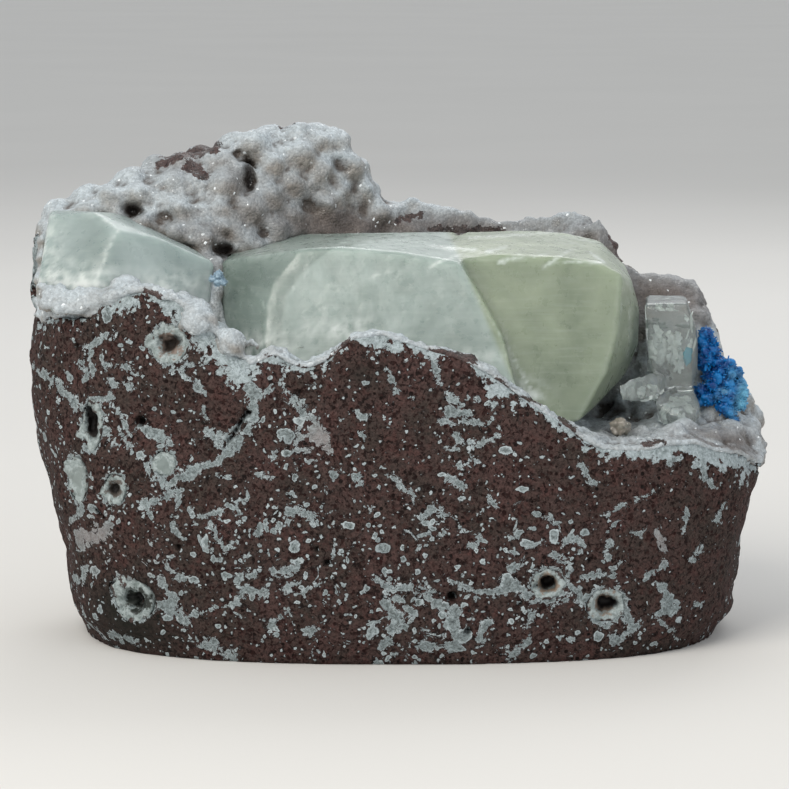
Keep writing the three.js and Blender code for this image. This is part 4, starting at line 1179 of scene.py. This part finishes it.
def makeSealed():
    clearPath = BVHTree.FromBMesh(mergedCopy("calcite_clear"))
    white = sealedMineral("whiteFracture", "#c9d2d0", "#e8eeec", 0.4)
    looks = {
        "smokyBand": sealedMineral("smokyCalciteBand", "#5f6a68", "#87918f", 0.5),
        "hollowBubble": sealedMineral("darkHollow", "#232b2a", "#4b5a56", 0.5),
        "tealBlade": sealedMineral("sealedCavansite", "#12809c", "#35a6bd", 0.3),
    }
    randomDraw = random.Random(5)
    for name, (x0, y0, x1, y1, share, thick, turn, count) in sealed.items():
        whole = bmesh.new()
        for _ in range(count):
            apart = 0.0 if count == 1 else 0.42
            x = (x0 + x1) / 2 + (x1 - x0) * randomDraw.uniform(-apart, apart)
            y = (y0 + y1) / 2 + (y1 - y0) * randomDraw.uniform(-apart, apart)
            ray = pixelRay(x, y)
            entry = clearPath.ray_cast(viewFrom, ray)[0]
            leave = entry and clearPath.ray_cast(entry + ray * 0.3 * mm, ray)[0]
            if not leave:
                continue
            middle = entry + (leave - entry) * share
            size = 1.0 if count == 1 else randomDraw.uniform(0.12, 0.42)
            wide = (x1 - x0) / 2 * mmPerPixel * mm * size
            tall = (y1 - y0) / 2 * mmPerPixel * mm * size
            turned = Matrix.Rotation(turn + randomDraw.uniform(-0.4, 0.4), 4, "Z")
            tilted = Matrix.Rotation(randomDraw.uniform(-0.4, 0.4), 4, "Y")
            sized = Matrix.Diagonal((wide, thick * mm, tall, 1))
            shape = bmesh.new()
            made = bmesh.ops.create_icosphere(shape, subdivisions=3, radius=1.0,
                                              matrix=Matrix.Translation(middle) @ turned @ tilted @ sized)
            for vert in made["verts"]:
                wrinkle = noise.fractal(vert.co / (0.8 * mm), 1.0, 2.0, 3)
                vert.co += (vert.co - middle) * 0.8 * wrinkle + Vector((0, 0.3 * mm * wrinkle, 0))
            addShape(whole, shape)
        finishPiece(meshOf(whole, name), name, looks.get(name, white))


makeCrystal("calcite_clear", "calciteClear", clearCalcite())
makeSealed()


# cavansite
cavansite = {
    # each rosette: pixel across and down, how far back its middle is and how far its blades reach, in mm
    "rosettes": [
        (706, 334, -4.4, 1.5), (704, 346, -4.6, 2.0), (712, 350, -4.6, 1.9), (706, 360, -4.8, 2.3),
        (717, 363, -4.8, 1.9), (727, 367, -4.6, 1.9), (736, 373, -4.4, 1.5), (715, 376, -5.2, 2.4),
        (725, 381, -5.0, 2.2), (737, 386, -4.8, 1.9), (743, 394, -4.8, 1.4), (702, 391, -5.4, 1.6),
        (709, 397, -5.8, 1.8), (720, 394, -5.8, 2.2), (730, 398, -5.6, 2.1), (740, 404, -5.4, 1.5),
        (723, 407, -6.4, 1.6), (731, 411, -6.4, 1.5), (734, 420, -6.4, 1.1), (700, 402, -5.6, 1.1),
        (711, 342, -3.6, 1.3), (730, 375, -5.6, 1.3), (721, 371, -6.0, 1.2), (712, 386, -6.4, 1.3),
        (705, 352, -6.0, 1.2),
    ],
    "spray": [(213, 279, -17.4, 0.8), (218, 275, -17.2, 1.0), (223, 281, -17.4, 0.9), (217, 283, -17.6, 0.8)],
    "blades": 80,  # on each rosette
    # paler patches, white crust on the blades at the right and painted highlights at 724, 391 and 716, 398: pixel
    # across and down, half-sizes, strength
    "pale": [
        (745, 392, 7, 16, 0.75), (740, 404, 6, 10, 0.6), (733, 374, 6, 8, 0.35), (724, 391, 6, 4, 0.45),
        (716, 398, 4, 3, 0.3), (732, 415, 6, 8, 0.25),
    ],
}


def cavansiteBlue(name, body, tip, pale):
    # cavansite, radiating blades: strong azure with a glassy to pearly shine, painted darker towards each rosette's
    # middle as shade, paler at the blade tips
    material, tree, shader, inMm = newMaterial(name)
    reach = addNode(tree, "ShaderNodeAttribute", {"attribute_name": "reach"})
    paleness = addNode(tree, "ShaderNodeAttribute", {"attribute_name": "pale"})
    cloud = addNode(tree, "ShaderNodeTexNoise", {"Scale": 0.5, "Detail": 4.0, "Roughness": 0.65},
                    {"Vector": inMm})
    lift = addNode(tree, "ShaderNodeMapRange",
                   {"From Min": 0.35, "From Max": 0.68, "To Min": -0.35, "To Max": 0.4},
                   {"Value": cloud.outputs[0]})
    share = addNode(tree, "ShaderNodeMath", {"operation": "ADD", "use_clamp": True},
                    {0: reach.outputs["Fac"], 1: lift.outputs[0]})
    blue = addNode(tree, "ShaderNodeMix", {"data_type": "RGBA", 6: toLinear(body), 7: toLinear(tip)},
                   {0: share.outputs[0]})
    paled = addNode(tree, "ShaderNodeMix", {"data_type": "RGBA", 7: toLinear(pale)},
                    {0: paleness.outputs["Fac"], 6: blue.outputs[2]})
    fibre = addNode(tree, "ShaderNodeTexNoise", {"Scale": 5.0, "Detail": 2.0}, {"Vector": inMm})
    bump = addNode(tree, "ShaderNodeBump", {"Strength": 0.25, "Distance": 0.0002},
                   {"Height": fibre.outputs[0]})
    setNode(tree, shader, {"Roughness": 0.36, "IOR": 1.54, "Specular IOR Level": 0.35},
            {"Base Color": paled.outputs[2], "Normal": bump.outputs[0]})
    return material


def makeRosettes(name, nodeName, rosettes, material):
    randomDraw = random.Random(len(rosettes) * 7 + 3)
    whole = bmesh.new()
    middles = []
    for x, y, depth, radius in rosettes:
        middle = pixelPlace(x, y, depth)
        size = radius * mm
        middles.append((middle, size))
        shape = bmesh.new()
        core = bmesh.ops.create_icosphere(shape, subdivisions=4, radius=size * 0.8,
                                          matrix=Matrix.Translation(middle))
        for vert in core["verts"]:
            facet = noise.voronoi(vert.co / (0.8 * mm))[0]
            swell = noise.noise(vert.co / (1.7 * mm)) * 0.5 + noise.noise(vert.co / (0.6 * mm)) * 0.12
            vert.co += (vert.co - middle) * (swell + 0.2 * (facet[1] - facet[0]))
        for _ in range(cavansite["blades"]):
            direction = Vector([randomDraw.gauss(0, 1) for _ in range(3)]).normalized()
            length = size * randomDraw.uniform(0.3, 0.75)
            wide = size * randomDraw.uniform(0.08, 0.2)
            place = Matrix.Translation(middle + direction * (size * 0.45 + length * 0.5))
            lean = Matrix.Rotation(randomDraw.uniform(-0.5, 0.5), 4, "X")
            turn = direction.to_track_quat("Z", "Y").to_matrix().to_4x4()
            spin = Matrix.Rotation(randomDraw.uniform(0, math.pi), 4, "Z")
            flat = Matrix.Diagonal((1.0, randomDraw.uniform(0.25, 0.45), 1.0, 1.0))
            bmesh.ops.create_cone(shape, cap_ends=True, segments=5, radius1=wide, radius2=wide * 0.6,
                                  depth=length, matrix=place @ turn @ spin @ lean @ flat)
        addShape(whole, shape)
    bmesh.ops.recalc_face_normals(whole, faces=whole.faces)
    mesh = meshOf(whole, name)
    points = readPoints(mesh)
    away = [np.linalg.norm(points - np.array(middle), axis=1) / size for middle, size in middles]
    # painted shade: darker towards each rosette's middle, between the blades
    addAttribute(mesh, "reach", smoothStep(np.min(away, axis=0), 0.7, 1.08))
    addAttribute(mesh, "pale", patches(points, cavansite["pale"]).clip(0, 0.8))
    finishPiece(mesh, name, material, [nodeName], smooth=False)


makeRosettes("cavansiteCluster", "cavansite_cluster", cavansite["rosettes"],
             cavansiteBlue("cavansiteBladesAzure", "#013a78", "#0871b4", "#6fb4cf"))
makeRosettes("cavansiteSpray", "cavansite_spray", cavansite["spray"],
             cavansiteBlue("cavansiteBladesPale", "#7f97a8", "#9fb6c4", "#a9c4d6"))


# the largest bubble fillings
fillings = {
    "voxel": 0.36 * mm,
    "grown": 0.3 * mm,  # they fill their pockets to the wall
    "relief": 0.22 * mm,
    "funnelDepth": 2.6 * mm,
    "wander": 0.42,  # how unevenly the funnel is edged, as a share of the filling's size
    "spread": 1.3 * mm,  # how far the rim spreads over the pocket's edge
    "overlap": 0.1 * mm,  # how far the rim stands out there
    # how far it is open in the middle, how dark its depth is painted as shade, the colour of its inner wall
    "kinds": {
        "ring": (1.0, 0.72, "#7d6f66"), "slot": (1.0, 0.9, "#4a4441"), "spherulite": (0.15, 0.3, "#87918f"),
        "oval": (0.7, 0.85, "#5a544f"), "nodule": (0.0, 0.0, "#7d8886"), "hollow_left": (0.8, 0.85, "#262b27"),
        "hollow_mid": (1.0, 0.97, "#8a7a6c"), "hollow_right": (1.0, 0.97, "#85776b"),
    },
}


def bandedZeolite(name, inner):
    # zeolite that filled a gas bubble from its wall inwards: pale grey-blue, mottled, open inside, its inner wall in
    # a darker colour and its depth painted dark as shade
    material, tree, shader, inMm = newMaterial(name)
    read = {key: addNode(tree, "ShaderNodeAttribute", {"attribute_name": key}).outputs["Fac"]
            for key in ("outward", "deep")}
    cloud = addNode(tree, "ShaderNodeTexNoise",
                    {"Scale": 1.0, "Detail": 6.0, "Roughness": 0.7, "Distortion": 0.6}, {"Vector": inMm})
    share = addNode(tree, "ShaderNodeMapRange", {"From Min": 0.36, "From Max": 0.6},
                    {"Value": cloud.outputs[0]})
    body = addNode(tree, "ShaderNodeMix",
                   {"data_type": "RGBA", 6: toLinear("#6e7977"), 7: toLinear("#a9b4b4")},
                   {0: share.outputs[0]})
    wander = addNode(tree, "ShaderNodeTexNoise", {"Scale": 0.45, "Detail": 5.0, "Roughness": 0.65},
                     {"Vector": inMm})
    lift = addNode(tree, "ShaderNodeMath", {"operation": "MULTIPLY_ADD", 1: 2.0, 2: -0.98},
                   {0: wander.outputs[0]})
    bent = addNode(tree, "ShaderNodeMath", {"operation": "ADD"}, {0: read["outward"], 1: lift.outputs[0]})
    innerShare = addNode(tree, "ShaderNodeMapRange", {"From Min": 0.66, "From Max": 0.5},
                         {"Value": bent.outputs[0]})
    walled = addNode(tree, "ShaderNodeMix", {"data_type": "RGBA", 7: toLinear(inner)},
                     {0: innerShare.outputs[0], 6: body.outputs[2]})
    rock = groundMass(tree, inMm)[0]
    outShare = addNode(tree, "ShaderNodeMapRange", {"From Min": 0.94, "From Max": 1.02},
                       {"Value": bent.outputs[0]})
    rimmed = addNode(tree, "ShaderNodeMix", {"data_type": "RGBA"},
                     {0: outShare.outputs[0], 6: walled.outputs[2], 7: rock})
    # painted shade deep in the funnel
    dark = addNode(tree, "ShaderNodeMix", {"data_type": "RGBA", 7: toLinear("#0f0c0b")},
                   {0: read["deep"], 6: rimmed.outputs[2]})
    bump = addNode(tree, "ShaderNodeBump", {"Strength": 0.5, "Distance": 0.0004}, {"Height": cloud.outputs[0]})
    setNode(tree, shader, {"Roughness": 0.58}, {"Base Color": dark.outputs[2], "Normal": bump.outputs[0]})
    return material


def makeFillings():
    for short, (openness, darkness, inner) in fillings["kinds"].items():
        nodeName = "amygdule_" + short
        low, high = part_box(nodeName)
        mesh = remeshed(mergedCopy(nodeName), "filling_" + short, fillings["voxel"])
        points = relaxed(mesh, readPoints(mesh), 2)
        writePoints(mesh, points)
        normals = readNormals(mesh)
        middle = np.array((low + high) / 2)
        half = np.array((high - low) / 2)
        across = (points - middle)[:, [0, 2]] / half[[0, 2]]
        outward = np.linalg.norm(across, axis=1)
        inPocket = smoothStep(normals[:, 1], -0.6, 0.1) * smoothStep(outward, 0.55, 0.8)
        lumps = rough(points, 1.4 * mm, 3, 8.0)
        points = pushed(points, normals, fillings["grown"] * inPocket + fillings["relief"] * lumps)
        wandered = outward + fillings["wander"] * rough(points, 2.8 * mm, 3, 21.0)
        funnel = (1 - smoothStep(wandered, 0.2, 0.68)) * openness
        points[:, 1] += funnel * fillings["funnelDepth"]
        # its rim spreads unevenly over the edge of the pocket
        rim = smoothStep(outward, 0.72, 0.95) * smoothStep(-normals[:, 1], -0.3, 0.4)
        spread = fillings["spread"] * (0.35 + rough(points, 2.2 * mm, 3, 33.0)).clip(0, 1.2) * rim
        points[:, [0, 2]] += across / outward.clip(0.1, None)[:, None] * spread[:, None]
        points[:, 1] -= fillings["overlap"] * rim
        writePoints(mesh, points)
        addAttribute(mesh, "outward", outward)
        # painted shade: how dark the funnel's depth is painted
        addAttribute(mesh, "deep", smoothStep(funnel, 0.3, 0.8) * darkness)
        material = bandedZeolite("bandedZeolite_" + short, inner)
        finishPiece(mesh, "filling_" + short, material, [nodeName])


makeFillings()
